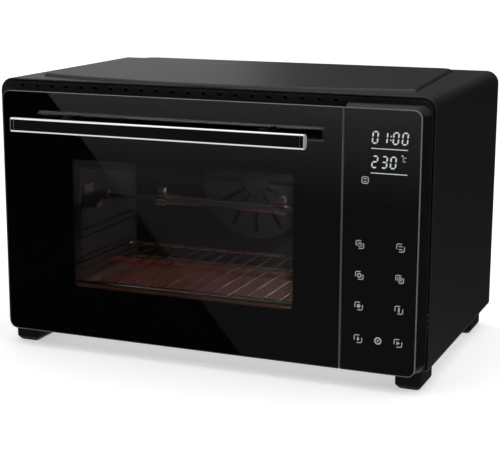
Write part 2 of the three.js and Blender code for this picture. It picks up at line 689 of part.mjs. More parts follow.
const PANEL_CORNER = 9;
const PANEL_BACK = FRAME_FRONT - GAP;
const PANEL_FLARE = 7.8; // the housing is this much wider at its back, outside the glass
const PANEL_TOP_FLARE = 5;
const PANEL_WALL = 3;

function panelGlass() {
  const radii = [1, PANEL_CORNER, PANEL_CORNER, 1];
  const pane = roundedRectangle(PANEL_LEFT, PANEL_RIGHT, GLASS_BASE, GLASS_TOP, radii);
  return alongY(pane, 0, GLASS_THICKNESS);
}

function panelHousing() {
  const outline = (flare, rise) => {
    const corner = PANEL_CORNER + flare / 2;
    const right = PANEL_RIGHT - GAP + flare;
    const top = GLASS_TOP - GAP + rise;
    return roundedRectangle(PANEL_LEFT + GAP, right, GLASS_BASE + GAP, top, [0.5, corner, corner, 0.5]);
  };
  const tub = loftBack(outline(0, 0), PAN_FRONT, outline(PANEL_FLARE, PANEL_TOP_FLARE), PANEL_BACK);
  const well = roundedRectangle(
    PANEL_LEFT + PANEL_WALL,
    PANEL_RIGHT - PANEL_WALL,
    GLASS_BASE + PANEL_WALL,
    GLASS_TOP - PANEL_WALL,
    PANEL_CORNER - PANEL_WALL,
  );
  return cut(tub, [alongY(well, PAN_FRONT - 1, PANEL_BACK + 1)]);
}

/** The display board's top and bottom edges; the touch board hangs below it. */
const DISPLAY = { top: GLASS_TOP - 15, base: GLASS_TOP - 74 };
const TOUCH_TOP = DISPLAY.base - 6.5;

function displayModule() {
  const { top, base } = DISPLAY;
  const front = GLASS_THICKNESS + 1;
  const lens = block(PANEL_LEFT + 23, PANEL_RIGHT - 7, front, front + 5, base + 3, top - 3);
  const board = block(PANEL_LEFT + 20, PANEL_RIGHT - 5, front + 4, front + 7, base, top);
  return lens.add(board);
}

function touchBoard() {
  const front = GLASS_THICKNESS + 1;
  const board = block(PANEL_LEFT + 7, PANEL_RIGHT - 7, front, front + 1.6, GLASS_BASE + 16, TOUCH_TOP);
  const chip = GLASS_BASE + 80;
  const driver = block(PANEL_LEFT + 34, PANEL_LEFT + 48, front + 1, front + 3.4, chip, chip + 14);
  return board.add(driver);
}

function powerBoard() {
  const x = RIGHT - 56;
  const y = CASING_FRONT + 46;
  const z = CAVITY.floor + 40;
  return join([
    block(x, x + 1.6, y, y + 140, z, z + 150),
    block(x + 1, x + 27, y + 12, y + 50, z + 12, z + 46),
    block(x + 1, x + 17, y + 70, y + 90, z + 14, z + 44),
    block(x + 1, x + 17, y + 100, y + 120, z + 14, z + 44),
    bar("x", x + 1, x + 24, [y + 30, z + 90], 8, 12),
    block(x + 1, x + 21, y + 76, y + 118, z + 84, z + 90),
  ]);
}

// ------------------------------------------------------------------ rear cover and cord gland

const GLAND = { x: RIGHT - 58, z: CASING_BASE + 34, radius: 9 };

function rearCover() {
  const inset = SHEET + GAP;
  const radii = [0, 0, CASING_CORNER - inset, CASING_CORNER - inset];
  const base = CASING_BASE + SHEET + GAP;
  const outline = roundedRectangle(LEFT + inset, RIGHT - inset, base, CASING_TOP - inset, radii);
  const front = REAR_COVER_BACK - SHEET;
  const plate = alongY(outline, front, REAR_COVER_BACK, 6);
  const bulge = (inset) => {
    const half = BULGE_WIDTH / 2 - inset;
    const x = CAVITY_MIDDLE;
    return roundedRectangle(x - half, x + half, FAN_Z - half, FAN_Z + half, BULGE_CORNER - inset);
  };
  const outer = loftBack(bulge(0), front + SHEET / 2, bulge(BULGE_DRAFT), BULGE_BACK);
  const inner = loftBack(bulge(2 * SHEET), front - 1, bulge(BULGE_DRAFT + 2 * SHEET), BULGE_BACK - SHEET);
  const slots = [];
  const slot = (x, z, width, height) => {
    const [dx, dz] = [width / 2, height / 2];
    slots.push(block(x - dx, x + dx, front - 1, BULGE_BACK + 1, z - dz, z + dz));
  };
  for (let i = -4; i <= 4; i++) {
    slot(CAVITY_MIDDLE + i * 11, FAN_Z, 4, 0.5 * BULGE_WIDTH);
  }
  for (let i = 0; i < 12; i++) {
    slot(RIGHT - 0.19 * CASING_WIDTH + 6 * i, CASING_TOP - 0.3 * CASING_HEIGHT, 2.5, 0.22 * CASING_HEIGHT);
  }
  const port = bar("y", front - 1, REAR_COVER_BACK + 1, [GLAND.x, GLAND.z], GLAND.radius + GAP, 14);
  return cut(cut(plate.add(outer), [inner]), [...slots, port]);
}

function cordGland() {
  const axis = [GLAND.x, GLAND.z];
  const front = REAR_COVER_BACK - 12;
  const sleeve = bar("y", front, REAR_COVER_BACK + 2, axis, GLAND.radius, 14);
  const flange = bar("y", REAR_COVER_BACK + GAP, REAR_COVER_BACK + 5, axis, GLAND.radius + 4, 14);
  const bore = bar("y", front - 1, REAR_COVER_BACK + 6, axis, 4, 10);
  return cut(sleeve.add(flange), [bore]);
}

// ------------------------------------------------------------------ convection fan

/** Blades round the fan's axis, each a thin block from one radius to another. */
function blades(count, inner, outer, y0, y1, thickness) {
  const made = [];
  for (let i = 0; i < count; i++) {
    const geometry = new THREE.BoxGeometry(outer - inner, y1 - y0, thickness);
    geometry.translate((inner + outer) / 2, 0, 0);
    geometry.rotateY((2 * Math.PI * i) / count);
    geometry.translate(CAVITY_MIDDLE, (y0 + y1) / 2, FAN_Z);
    made.push(solid(geometry));
  }
  return made;
}

/** A bladed wheel on the fan's shaft. */
function fanWheel(count, radius, y0, y1) {
  const centre = [CAVITY_MIDDLE, FAN_Z];
  const hub = bar("y", y0, y1, centre, 9, 16);
  const disc = bar("y", y1 - 1.5, y1, centre, 0.6 * radius, 20);
  const bore = bar("y", y0 - 1, y1 + 1, centre, FAN_SHAFT_RADIUS + GAP, 12);
  return cut(join([hub, disc, ...blades(count, 8, radius, y0 + 1, y1, 1.5)]), [bore]);
}

const MOTOR_FRONT = CAVITY.back + SHEET + 12;

function fanGuard() {
  const r = FAN_GUARD_RADIUS;
  const profile = [
    [0, 0],
    [r - 3, 0],
    [r, 3],
    [r, FAN_GUARD_DEPTH],
    [r - SHEET, FAN_GUARD_DEPTH],
    [r - SHEET, 3.5],
    [r - 3.5, SHEET],
    [0, SHEET],
  ].map(([x, y]) => new THREE.Vector2(x, y));
  const geometry = new THREE.LatheGeometry(profile, 28);
  geometry.translate(CAVITY_MIDDLE, GUARD_FRONT, FAN_Z);
  const slots = blades(12, 16, r - 12, GUARD_FRONT - 1, GUARD_FRONT + 3, 5);
  return cut(solid(geometry), slots);
}

function fanShaft() {
  const back = MOTOR_FRONT + MOTOR_DEPTH - 2;
  return bar("y", GUARD_FRONT + 3, back, [CAVITY_MIDDLE, FAN_Z], FAN_SHAFT_RADIUS, 12);
}

function fanMotor() {
  const half = MOTOR_SIZE / 2;
  const x = CAVITY_MIDDLE;
  const z = FAN_Z;
  const back = MOTOR_FRONT + MOTOR_DEPTH;
  const core = alongY(roundedRectangle(x - half, x + half, z - half, z + half, 5), MOTOR_FRONT, back, 2);
  const bore = bar("y", MOTOR_FRONT - 1, back + 1, [x, z], FAN_SHAFT_RADIUS + GAP, 12);
  return cut(core, [bore]);
}

function motorBracket() {
  const x = CAVITY_MIDDLE;
  const reach = COOLING_FAN_RADIUS + 11;
  const back = MOTOR_FRONT - GAP;
  const wall = CAVITY.back + SHEET + GAP;
  const strap = block(x - reach, x + reach, back - 1.5, back, FAN_Z - 12, FAN_Z + 12);
  const legs = [-1, 1].map((side) => {
    const [x0, x1] = [x + side * reach, x + side * (reach - 2)].sort((a, b) => a - b);
    return block(x0, x1, wall, back - 1, FAN_Z - 12, FAN_Z + 12);
  });
  const bore = bar("y", wall, back + 1, [x, FAN_Z], FAN_SHAFT_RADIUS + 2, 12);
  return cut(join([strap, ...legs]), [bore]);
}

// ------------------------------------------------------------------ rotisserie

const SPIT_LEFT = CAVITY.left + 9;
const SOCKET_DEPTH = 13;
const COUPLING_LEFT = CAVITY.right - 18;
const SPIT_MOTOR_LEFT = CAVITY.right + SHEET + 5;

/** A square bar along X. */
const squareBar = (from, to, width) =>
  block(from, to, SPIT_Y - width / 2, SPIT_Y + width / 2, SPIT_Z - width / 2, SPIT_Z + width / 2);

function spitRod() {
  const axis = [SPIT_Y, SPIT_Z];
  return join([
    bar("x", SPIT_LEFT, SPIT_LEFT + 12, axis, 4, 12),
    bar("x", SPIT_LEFT + 11, SPIT_LEFT + 22, axis, 6.5, 14),
    squareBar(SPIT_LEFT + 20, COUPLING_LEFT + SOCKET_DEPTH - 1, SPIT_WIDTH),
  ]);
}

function driveCoupling() {
  const axis = [SPIT_Y, SPIT_Z];
  const head = bar("x", COUPLING_LEFT, SPIT_MOTOR_LEFT - 1, axis, SPIT_COUPLING_RADIUS, 16);
  const stub = bar("x", SPIT_MOTOR_LEFT - 2, SPIT_MOTOR_LEFT + 8, axis, 4, 12);
  const socket = squareBar(COUPLING_LEFT - 1, COUPLING_LEFT + SOCKET_DEPTH, SPIT_WIDTH + 2 * GAP);
  return cut(head.add(stub), [socket]);
}

function rotisserieMotor() {
  const half = SPIT_MOTOR_SIZE / 2;
  const body = roundedRectangle(SPIT_Y - half, SPIT_Y + half, SPIT_Z - half, SPIT_Z + half, 12);
  const bore = bar("x", SPIT_MOTOR_LEFT - 1, SPIT_MOTOR_LEFT + 10, [SPIT_Y, SPIT_Z], 4 + GAP, 12);
  return cut(alongX(body, SPIT_MOTOR_LEFT, SPIT_MOTOR_LEFT + SPIT_MOTOR_DEPTH), [bore]);
}

function spitSupport() {
  const wall = CAVITY.left + GAP;
  const base = SPIT_Z - 16;
  return cut(
    join([
      block(wall, wall + 1.5, SPIT_Y - 12, SPIT_Y + 12, base, SPIT_Z + 12),
      block(wall + 1, SPIT_LEFT + 8, SPIT_Y - 8, SPIT_Y + 8, base, SPIT_Z),
    ]),
    [bar("x", wall + 3, SPIT_LEFT + 9, [SPIT_Y, SPIT_Z], 4 + GAP, 12)],
  );
}

const FORKS = [
  { where: "left", side: 1, x: CAVITY_MIDDLE - FORK_OFFSET },
  { where: "right", side: -1, x: CAVITY_MIDDLE + FORK_OFFSET },
];
const FORK_HUB = { radius: 8, half: 6 };

function spitFork({ x, side }) {
  const { radius, half } = FORK_HUB;
  const hub = bar("x", x - half, x + half, [SPIT_Y, SPIT_Z], radius, 14);
  const yoke = block(x - 2, x + 2, SPIT_Y - FORK_SPAN / 2, SPIT_Y + FORK_SPAN / 2, SPIT_Z - 2, SPIT_Z + 2);
  const tines = [-1, 1].map((way) => {
    const y = SPIT_Y + way * (FORK_SPAN / 2 - 2);
    const [from, to] = [x, x + side * FORK_TINE].sort((a, b) => a - b);
    const [start, end] = side > 0 ? [2, 0.6] : [0.6, 2];
    return bar("x", from, to, [y, SPIT_Z], start, 8, end);
  });
  const hole = squareBar(x - half - 1, x + half + 1, SPIT_WIDTH + 2 * GAP);
  const tapped = bar("z", SPIT_Z + 1, SPIT_Z + radius + 1, [x, SPIT_Y], 2 + GAP, 10);
  return cut(join([hub, yoke, ...tines]), [hole, tapped]);
}

function thumbScrew({ x }) {
  const { radius } = FORK_HUB;
  const shank = bar("z", SPIT_Z + SPIT_WIDTH / 2 + GAP, SPIT_Z + radius + 2, [x, SPIT_Y], 2, 10);
  const head = bar("z", SPIT_Z + radius + GAP, SPIT_Z + radius + 7, [x, SPIT_Y], 5.5, 12);
  return shank.add(head);
}

// ------------------------------------------------------------------ lamp and sensors

function lampCover() {
  const x = CAVITY.right - GAP;
  return bar("x", x - 6, x, [LAMP_Y, LAMP_Z], LAMP_RADIUS - 4, 20, LAMP_RADIUS);
}

function lampHolder() {
  const x = CAVITY.right + SHEET + GAP;
  const can = bar("x", x, x + 24, [LAMP_Y, LAMP_Z], LAMP_RADIUS, 18);
  const well = bar("x", x - 1, x + 20, [LAMP_Y, LAMP_Z], LAMP_RADIUS - 3, 18);
  return cut(can, [well]);
}

function lampBulb() {
  const x = CAVITY.right + SHEET + GAP;
  const glass = bar("x", x + 2, x + 14, [LAMP_Y, LAMP_Z], 5, 12);
  const cap = bar("x", x + 13, x + 20 - GAP, [LAMP_Y, LAMP_Z], 6, 12);
  return glass.add(cap);
}

function temperatureProbe() {
  const sheath = bar("y", CAVITY.back - 32, CAVITY.back + 8, [PROBE.x, PROBE.z], PROBE.radius, 10);
  const nut = bar("y", CAVITY.back + SHEET + GAP, CAVITY.back + SHEET + 4, [PROBE.x, PROBE.z], 5, 6);
  return sheath.add(nut);
}

function thermalCutout() {
  const z = CAVITY.roof + SHEET + GAP;
  const y = CAVITY.front + CAVITY_DEPTH / 2;
  const x = CAVITY.right - 40;
  const ears = block(x - 14, x + 14, y - 5, y + 5, z, z + 1);
  return ears.add(bar("z", z, z + 9, [x, y], 8, 14));
}

// ------------------------------------------------------------------ every piece

piece("casing_wrapper", casingWrapper(), "casing");
piece("bottom_plate", bottomPlate(), "aluminised");
piece("rear_cover", rearCover(), "casing");
piece("front_frame", frontFrame(), "blackPlastic");
piece("cavity_liner", cavityLiner(), "enamel");
piece("heat_shield", heatShield(), "aluminised");
for (const element of ELEMENTS) piece(element.name, heatingElement(element), "element");
piece("wire_rack", wireRack(), "chrome");
piece("crumb_tray", crumbTray(), "aluminised");
piece("door_outer_glass", doorOuterGlass(), "glass");
piece("door_frame", doorFrame(), "casing");
piece("door_inner_glass", doorInnerGlass(), "clearGlass");
for (const end of HINGE_ENDS) {
  piece(`hinge_pin_${end.where}`, hingePin(end), "steel");
  piece(`hinge_bracket_${end.where}`, hingeBracket(end), "steel");
}
piece("handle_bar", handleBar(), "chrome");
piece("handle_end_cap_left", handleCap(-1), "steel");
piece("handle_end_cap_right", handleCap(1), "steel");
for (const post of POSTS) {
  piece(`handle_post_${post.where}`, handlePost(post), "blackPlastic");
  piece(`handle_screw_${post.where}`, handleScrew(post), "steel");
}
piece("control_panel_glass", panelGlass(), "glass");
piece("control_panel_housing", panelHousing(), "blackPlastic");
piece("display_module", displayModule(), "display");
piece("touch_board", touchBoard(), "circuit");
piece("power_board", powerBoard(), "circuit");
piece("cord_gland", cordGland(), "rubber");
piece("fan_guard", fanGuard(), "enamel");
piece("convection_fan", fanWheel(FAN_BLADES, FAN_RADIUS, GUARD_FRONT + 4, CAVITY.back - 3), "aluminised");
const coolingFanFront = CAVITY.back + SHEET + 2;
piece("cooling_fan", fanWheel(6, COOLING_FAN_RADIUS, coolingFanFront, coolingFanFront + 7), "aluminised");
piece("fan_shaft", fanShaft(), "steel");
piece("fan_motor", fanMotor(), "steel");
piece("fan_motor_bracket", motorBracket(), "aluminised");
piece("spit_rod", spitRod(), "chrome");
piece("spit_support", spitSupport(), "steel");
piece("drive_coupling", driveCoupling(), "steel");
piece("rotisserie_motor", rotisserieMotor(), "steel");
for (const fork of FORKS) {
  piece(`spit_fork_${fork.where}`, spitFork(fork), "chrome");
  piece(`fork_screw_${fork.where}`, thumbScrew(fork), "chrome");
}
piece("lamp_cover", lampCover(), "clearGlass");
piece("lamp_holder", lampHolder(), "ceramic");
piece("lamp_bulb", lampBulb(), "clearGlass");
piece("temperature_probe", temperatureProbe(), "steel");
piece("thermal_cutout", thermalCutout(), "darkPlastic");
for (const place of FEET) {
  piece(`foot_${place.where}`, foot(place), "rubber");
  piece(`foot_screw_${place.where}`, footScrew(place), "steel");
}

export default oven;
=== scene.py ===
"""A counter-top toaster oven with a full-glass front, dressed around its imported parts.

Each sub-assembly is a class that holds its sizes, builds its meshes and dresses them. Lengths are
metres in the part's own frame: X across the front, Y from the glass to the back, Z up.
"""

import json
import logging
import math
from dataclasses import dataclass, field
from enum import Enum
from typing import Callable, Iterable, Sequence

import bmesh
import bpy
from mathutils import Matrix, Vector

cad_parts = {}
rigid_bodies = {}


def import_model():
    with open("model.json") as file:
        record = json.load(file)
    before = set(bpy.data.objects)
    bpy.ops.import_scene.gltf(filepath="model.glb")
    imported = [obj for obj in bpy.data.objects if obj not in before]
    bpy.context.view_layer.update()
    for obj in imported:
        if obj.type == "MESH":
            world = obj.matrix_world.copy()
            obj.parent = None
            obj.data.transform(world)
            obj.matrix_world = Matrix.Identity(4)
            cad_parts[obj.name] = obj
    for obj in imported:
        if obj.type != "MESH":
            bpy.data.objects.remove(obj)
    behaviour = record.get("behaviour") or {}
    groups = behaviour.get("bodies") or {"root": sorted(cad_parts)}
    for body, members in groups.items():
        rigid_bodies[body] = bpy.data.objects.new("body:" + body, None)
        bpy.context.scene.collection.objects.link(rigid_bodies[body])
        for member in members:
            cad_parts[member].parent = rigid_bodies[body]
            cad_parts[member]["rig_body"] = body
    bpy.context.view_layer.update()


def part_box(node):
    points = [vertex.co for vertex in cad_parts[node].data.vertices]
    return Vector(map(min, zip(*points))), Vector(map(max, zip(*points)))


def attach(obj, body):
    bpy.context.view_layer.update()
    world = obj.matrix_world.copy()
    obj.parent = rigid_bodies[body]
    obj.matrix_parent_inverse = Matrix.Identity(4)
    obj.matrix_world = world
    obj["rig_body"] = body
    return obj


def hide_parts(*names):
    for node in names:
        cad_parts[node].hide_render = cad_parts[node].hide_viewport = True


LOG = logging.getLogger("oven")
MM = 0.001

Point2 = tuple[float, float]
Colour = tuple[float, float, float]
Mesh = bpy.types.Mesh
Node = bpy.types.Node
Object = bpy.types.Object
Socket = bpy.types.NodeSocket
Tree = bpy.types.NodeTree
Number = Socket | float

DUST_COLOUR: Colour = (0.32, 0.31, 0.3)
UPRIGHT = (math.pi / 2, 0.0, 0.0)  # stands what lies flat up to face the front
MOST_CHANGE = 0.04  # share of a node's area or volume that rounding its edges may change
MOST_FOLDED = 0.0005  # share of its area that may fold over itself


class Body(Enum):
    """The moving and fixed bodies that pieces ride on."""

    OVEN = "oven"
    DOOR = "door"
    RACK = "rack"
    SPIT = "spit"
    FAN = "fan"


class Axis(Enum):
    """The line that a turned piece is round about."""

    X = 0
    Y = 1
    Z = 2


class Texture(Enum):
    """How a finish breaks up its own colour."""

    ORANGE_PEEL = "orange peel"
    SPECKLE = "speckle"
    SPANGLE = "spangle"
    BRUSHED = "brushed"


# ---------------------------------------------------------------- node trees


def fill(tree: Tree, node: Node, inputs: dict) -> None:
    """Sets or links a node's inputs.

    Args:
        tree: the tree that holds the node.
        node: the node.
        inputs: value or source socket for each input, by name or index.
    """
    for name, value in inputs.items():
        if isinstance(value, Socket):
            tree.links.new(value, node.inputs[name])
        else:
            node.inputs[name].default_value = value


def add_node(tree: Tree, kind: str, inputs: dict | None = None, **settings) -> Node:
    """Adds a node, sets its options and its inputs.

    Args:
        tree: the tree that takes the node.
        kind: the node's type name.
        inputs: value or source socket for each input, by name or index.
        **settings: the node's own options.

    Returns:
        The new node.
    """
    node = tree.nodes.new(kind)
    for name, value in settings.items():
        setattr(node, name, value)
    fill(tree, node, inputs or {})
    return node


class NodeGroup:
    """A node tree with inputs and outputs of its own, and short ways to add to it."""

    def __init__(self, name: str, kind: str) -> None:
        """Opens a new tree.

        Args:
            name: the tree's name.
            kind: its type name.
        """
        self.tree = bpy.data.node_groups.new(name, kind)
        self.entry = self.tree.nodes.new("NodeGroupInput")
        self.exit = self.tree.nodes.new("NodeGroupOutput")

    def socket(self, label: str, way: str, kind: str) -> bpy.types.NodeTreeInterfaceSocket:
        """Adds an input or an output of the tree's own."""
        return self.tree.interface.new_socket(label, in_out=way, socket_type=kind)

    def add(self, kind: str, inputs: dict | None = None, **settings) -> Node:
        """Adds a node to the tree."""
        return add_node(self.tree, kind, inputs, **settings)

    def math(self, operation: str, *terms: Number, **settings) -> Socket:
        """A number that a Math node works out from its terms."""
        return self.add("ShaderNodeMath", dict(enumerate(terms)), operation=operation, **settings).outputs[0]


class ShaderGroup(NodeGroup):
    """A shader node group that takes a vector and named numbers, built once."""

    made: dict[str, Tree] = {}

    def __init__(self, name: str, inputs: dict[str, float]) -> None:
        """Opens a new group.

        Args:
            name: the group's name.
            inputs: default of each number that goes in after the vector.
        """
        super().__init__(name, "ShaderNodeTree")
        self.socket("Vector", "INPUT", "NodeSocketVector")
        for label, default in inputs.items():
            self.socket(label, "INPUT", "NodeSocketFloat").default_value = default
        ShaderGroup.made[name] = self.tree

    def noise(self, scale: str, detail: float, roughness: float = 0.5) -> Socket:
        """Noise at the group's vector.

        Args:
            scale: name of the input that gives its scale.
            detail: its finer layers.
            roughness: how strong they are.

        Returns:
            The noise, about 0.5 on average.
        """
        source = self.entry.outputs
        inputs = {"Vector": source["Vector"], "Scale": source[scale], "Detail": detail}
        return self.add("ShaderNodeTexNoise", {**inputs, "Roughness": roughness}).outputs["Fac"]

    def cells(self) -> Node:
        """Cells at the group's vector and scale."""
        source = self.entry.outputs
        return self.add("ShaderNodeTexVoronoi", {"Vector": source["Vector"], "Scale": source["Scale"]})

    def stretched(self, value: Socket, low: float, high: float, **settings) -> Socket:
        """A value stretched so that low becomes 0 and high becomes 1."""
        inputs = {"Value": value, "From Min": low, "From Max": high}
        return self.add("ShaderNodeMapRange", inputs, **settings).outputs[0]

    def close(self, **outputs: Socket) -> Tree:
        """Gives the group its outputs.

        Args:
            **outputs: the number that each output gives.

        Returns:
            The finished group.
        """
        for label, source in outputs.items():
            self.socket(label, "OUTPUT", "NodeSocketFloat")
            self.tree.links.new(source, self.exit.inputs[label])
        return self.tree


def surface_grain_group() -> Tree:
    """Fine relief and slow drift of a coated or rolled surface.

    Returns:
        The group, with outputs Height, for a Bump node, and Drift, a slow change from 0 to 1.
    """
    group = ShaderGroup("surface_grain", {"Fine Scale": 900.0, "Drift Scale": 14.0, "Contrast": 2.2})
    fine = group.noise("Fine Scale", 2.0, 0.55)
    centred = group.math("SUBTRACT", group.noise("Drift Scale", 3.0, 0.6), 0.5)
    drift = group.math("MULTIPLY_ADD", centred, group.entry.outputs["Contrast"], 0.5, use_clamp=True)
    return group.close(Height=fine, Drift=drift)


def edge_wear_and_highlight_group() -> Tree:
    """Rubbed edges with a painted edge highlight: where the surface turns sharply outwards, broken up by a
    noise.

    Returns:
        The group, with the output Mask.
    """
    group = ShaderGroup("edge_wear", {"Amount": 0.5, "Scale": 120.0})
    pointed = group.add("ShaderNodeNewGeometry").outputs["Pointiness"]
    edge = group.stretched(pointed, 0.52, 0.6, interpolation_type="SMOOTHSTEP")
    broken = group.stretched(group.noise("Scale", 4.0), 0.42, 0.66)
    both = group.math("MULTIPLY", edge, broken)
    return group.close(Mask=group.math("MULTIPLY", both, group.entry.outputs["Amount"]))


def dust_group() -> Tree:
    """Thin dust on what faces up.

    Returns:
        The group, with the output Mask.
    """
    group = ShaderGroup("dust", {"Amount": 0.1, "Scale": 60.0})
    facing = group.add("ShaderNodeNewGeometry").outputs["Normal"]
    lying = group.stretched(group.add("ShaderNodeSeparateXYZ", {0: facing}).outputs["Z"], 0.55, 1.0)
    patch = group.stretched(group.noise("Scale", 6.0, 0.7), 0.35, 0.75)
    both = group.math("MULTIPLY", lying, patch)
    return group.close(Mask=group.math("MULTIPLY", both, group.entry.outputs["Amount"]))


def speckle_group() -> Tree:
    """Small pale flecks, as in stove enamel.

    Returns:
        The group, with the output Mask.
    """
    group = ShaderGroup("speckle", {"Scale": 420.0, "Size": 0.16})
    cells = group.cells()
    inside = group.math("LESS_THAN", cells.outputs["Distance"], group.entry.outputs["Size"])
    pick = group.add("ShaderNodeSeparateColor", {0: cells.outputs["Color"]}).outputs[0]
    return group.close(Mask=group.math("MULTIPLY", inside, group.math("GREATER_THAN", pick, 0.55)))


def spangle_group() -> Tree:
    """The crystal patches of zinc or aluminium-coated sheet.

    Returns:
        The group, with the output Mask.
    """
    group = ShaderGroup("spangle", {"Scale": 130.0})
    tone = group.add("ShaderNodeSeparateColor", {0: group.cells().outputs["Color"]})
    return group.close(Mask=tone.outputs[1])


def brushed_group() -> Tree:
    """Fine parallel scratches.

    Returns:
        The group, with the output Mask.
    """
    group = ShaderGroup("brushed", {"Scale": 1500.0})
    return group.close(Mask=group.noise("Scale", 3.0, 0.7))


TEXTURE_GROUPS: dict[Texture, Callable[[], Tree]] = {
    Texture.SPECKLE: speckle_group,
    Texture.SPANGLE: spangle_group,
    Texture.BRUSHED: brushed_group,
}


def placed_group(tree: Tree, build: Callable[[], Tree], name: str, values: dict) -> Node:
    """Puts a shader group into a material with its own values.

    Args:
        tree: the material's tree.
        build: the function that makes the group the first time.
        name: the group's name.
        values: its inputs.

    Returns:
        The group node.
    """
    group = ShaderGroup.made.get(name) or build()
    return add_node(tree, "ShaderNodeGroup", values, node_tree=group)


def mixed(tree: Tree, mask: Socket, first: Colour | Socket, second: Colour) -> Socket:
    """A colour that goes from first to second where the mask is.

    Args:
        tree: the material's tree.
        mask: how much of the second colour shows.
        first: the first colour.
        second: the second colour.

    Returns:
        The mixed colour.
    """
    start = first if isinstance(first, Socket) else (*first, 1.0)
    inputs = {"Factor": mask, 6: start, 7: (*second, 1.0)}
    return add_node(tree, "ShaderNodeMix", inputs, data_type="RGBA").outputs[2]


def own_coordinates(tree: Tree) -> Socket:
    """The piece's own coordinates."""
    return add_node(tree, "ShaderNodeTexCoord").outputs["Object"]


# ---------------------------------------------------------------- finishes


@dataclass(frozen=True)
class Dressing:
    """What a surface is made of: the name of its material and the name of a slot."""

    name: str
    slot: str

    def material(self) -> bpy.types.Material:
        """The material, made on first use.

        Returns:
            A material that is uneven over the surface.
        """
        made = bpy.data.materials.get(self.name)
        if not made:
            made = bpy.data.materials.new(self.name)
            made.use_nodes = True
            tree = made.node_tree
            fill(tree, tree.nodes["Principled BSDF"], self.inputs(tree))
        return made

    def inputs(self, tree: Tree) -> dict[str, object]:
        """Value or socket for each input of the shader, by name."""
        raise NotImplementedError


@dataclass(frozen=True)
class Finish(Dressing):
    """A coated, moulded or metal surface, with grain, drift of tone, rubbed edges partly painted as an edge
    highlight, and dust.
    """

    colour: Colour
    roughness: float = 0.5
    metallic: float = 0.0
    texture: Texture = Texture.ORANGE_PEEL
    second: Colour | None = None
    grain_scale: float = 900.0
    relief: float = 0.02 * MM
    drift: float = 0.25
    # rubbed edges, partly a painted edge highlight: sharp outer edges take a colour that is mostly lighter
    # than the finish
    wear_and_highlight: float = 0.0
    wear_and_highlight_colour: Colour = (0.12, 0.12, 0.125)
    dust: float = 0.05
    specular: float = 0.5
    stretch: tuple[float, float, float] = (1.0, 1.0, 1.0)
    spread: float = 0.1

    def inputs(self, tree: Tree) -> dict[str, object]:
        """Value or socket for each input of the shader.

        Args:
            tree: the material's tree.

        Returns:
            The inputs by name; colour, roughness and relief all change over the surface.
        """
        mapping = {"Vector": own_coordinates(tree), "Scale": self.stretch}
        vector = add_node(tree, "ShaderNodeMapping", mapping).outputs["Vector"]
        fine = {"Vector": vector, "Fine Scale": self.grain_scale}
        grain = placed_group(tree, surface_grain_group, "surface_grain", fine)
        mask = grain.outputs["Drift"]
        if self.texture in TEXTURE_GROUPS:
            marks = placed_group(tree, TEXTURE_GROUPS[self.texture], self.texture.value, {"Vector": vector})
            mask = marks.outputs["Mask"]
        lighter = self.second or tuple(min(1.0, c * (1.0 + self.drift) + 0.002) for c in self.colour)
        colour = mixed(tree, mask, self.colour, lighter)
        # painted edge highlight mixed with rubbed edges: convex edges are recoloured by the edge colour
        if self.wear_and_highlight:
            worn_and_highlighted = placed_group(tree, edge_wear_and_highlight_group, "edge_wear", {"Vector": vector, "Amount": self.wear_and_highlight})
            colour = mixed(tree, worn_and_highlighted.outputs["Mask"], colour, self.wear_and_highlight_colour)
        if self.dust:
            dusty = placed_group(tree, dust_group, "dust", {"Vector": vector, "Amount": self.dust})
            colour = mixed(tree, dusty.outputs["Mask"], colour, DUST_COLOUR)
        smooth = max(0.02, self.roughness - self.spread / 2)
        rough = min(1.0, self.roughness + self.spread / 2)
        polish = add_node(tree, "ShaderNodeMapRange", {"Value": mask, "To Min": smooth, "To Max": rough})
        relief = {"Height": grain.outputs["Height"], "Strength": 0.35, "Distance": self.relief}
        return {
            "Base Color": colour,
            "Roughness": polish.outputs[0],
            "Normal": add_node(tree, "ShaderNodeBump", relief).outputs["Normal"],
            "Metallic": self.metallic,
            "Specular IOR Level": self.specular,
        }


@dataclass(frozen=True)
class Glass(Dressing):
    """Clear or tinted glass, with a faint haze in its polish."""

    tint: Colour
    haze: float = 0.0

    def inputs(self, tree: Tree) -> dict[str, object]:
        """Value or socket for each input of the shader.

        Args:
            tree: the material's tree.

        Returns:
            The inputs by name; the roughness drifts a little.
        """
        scales = {"Vector": own_coordinates(tree), "Fine Scale": 60.0, "Drift Scale": 9.0}
        drift = placed_group(tree, surface_grain_group, "surface_grain", scales).outputs["Drift"]
        haze = {"Value": drift, "From Min": 0.5, "To Min": self.haze, "To Max": self.haze + 0.003}
        return {
            "Roughness": add_node(tree, "ShaderNodeMapRange", haze).outputs[0],
            "Base Color": (*self.tint, 1.0),
            "Transmission Weight": 1.0,
            "IOR": 1.5,
        }


@dataclass(frozen=True)
class Glow(Dressing):
    """A surface that gives light, uneven over its face."""

    colour: Colour
    strength: float
    base: Colour = (0.02, 0.02, 0.02)
    unevenness: float = 0.25
    scale: float = 700.0

    def inputs(self, tree: Tree) -> dict[str, object]:
        """Value or socket for each input of the shader.

        Args:
            tree: the material's tree.

        Returns:
            The inputs by name; the light's colour changes over the surface.
        """
        scales = {"Vector": own_coordinates(tree), "Fine Scale": self.scale, "Drift Scale": self.scale / 4}
        drift = placed_group(tree, surface_grain_group, "surface_grain", scales).outputs["Drift"]
        dimmer = tuple(c * (1.0 - self.unevenness) for c in self.colour)
        return {
            "Emission Color": mixed(tree, drift, self.colour, dimmer),
            "Emission Strength": self.strength,
            "Base Color": (*self.base, 1.0),
            "Roughness": 0.4,
        }


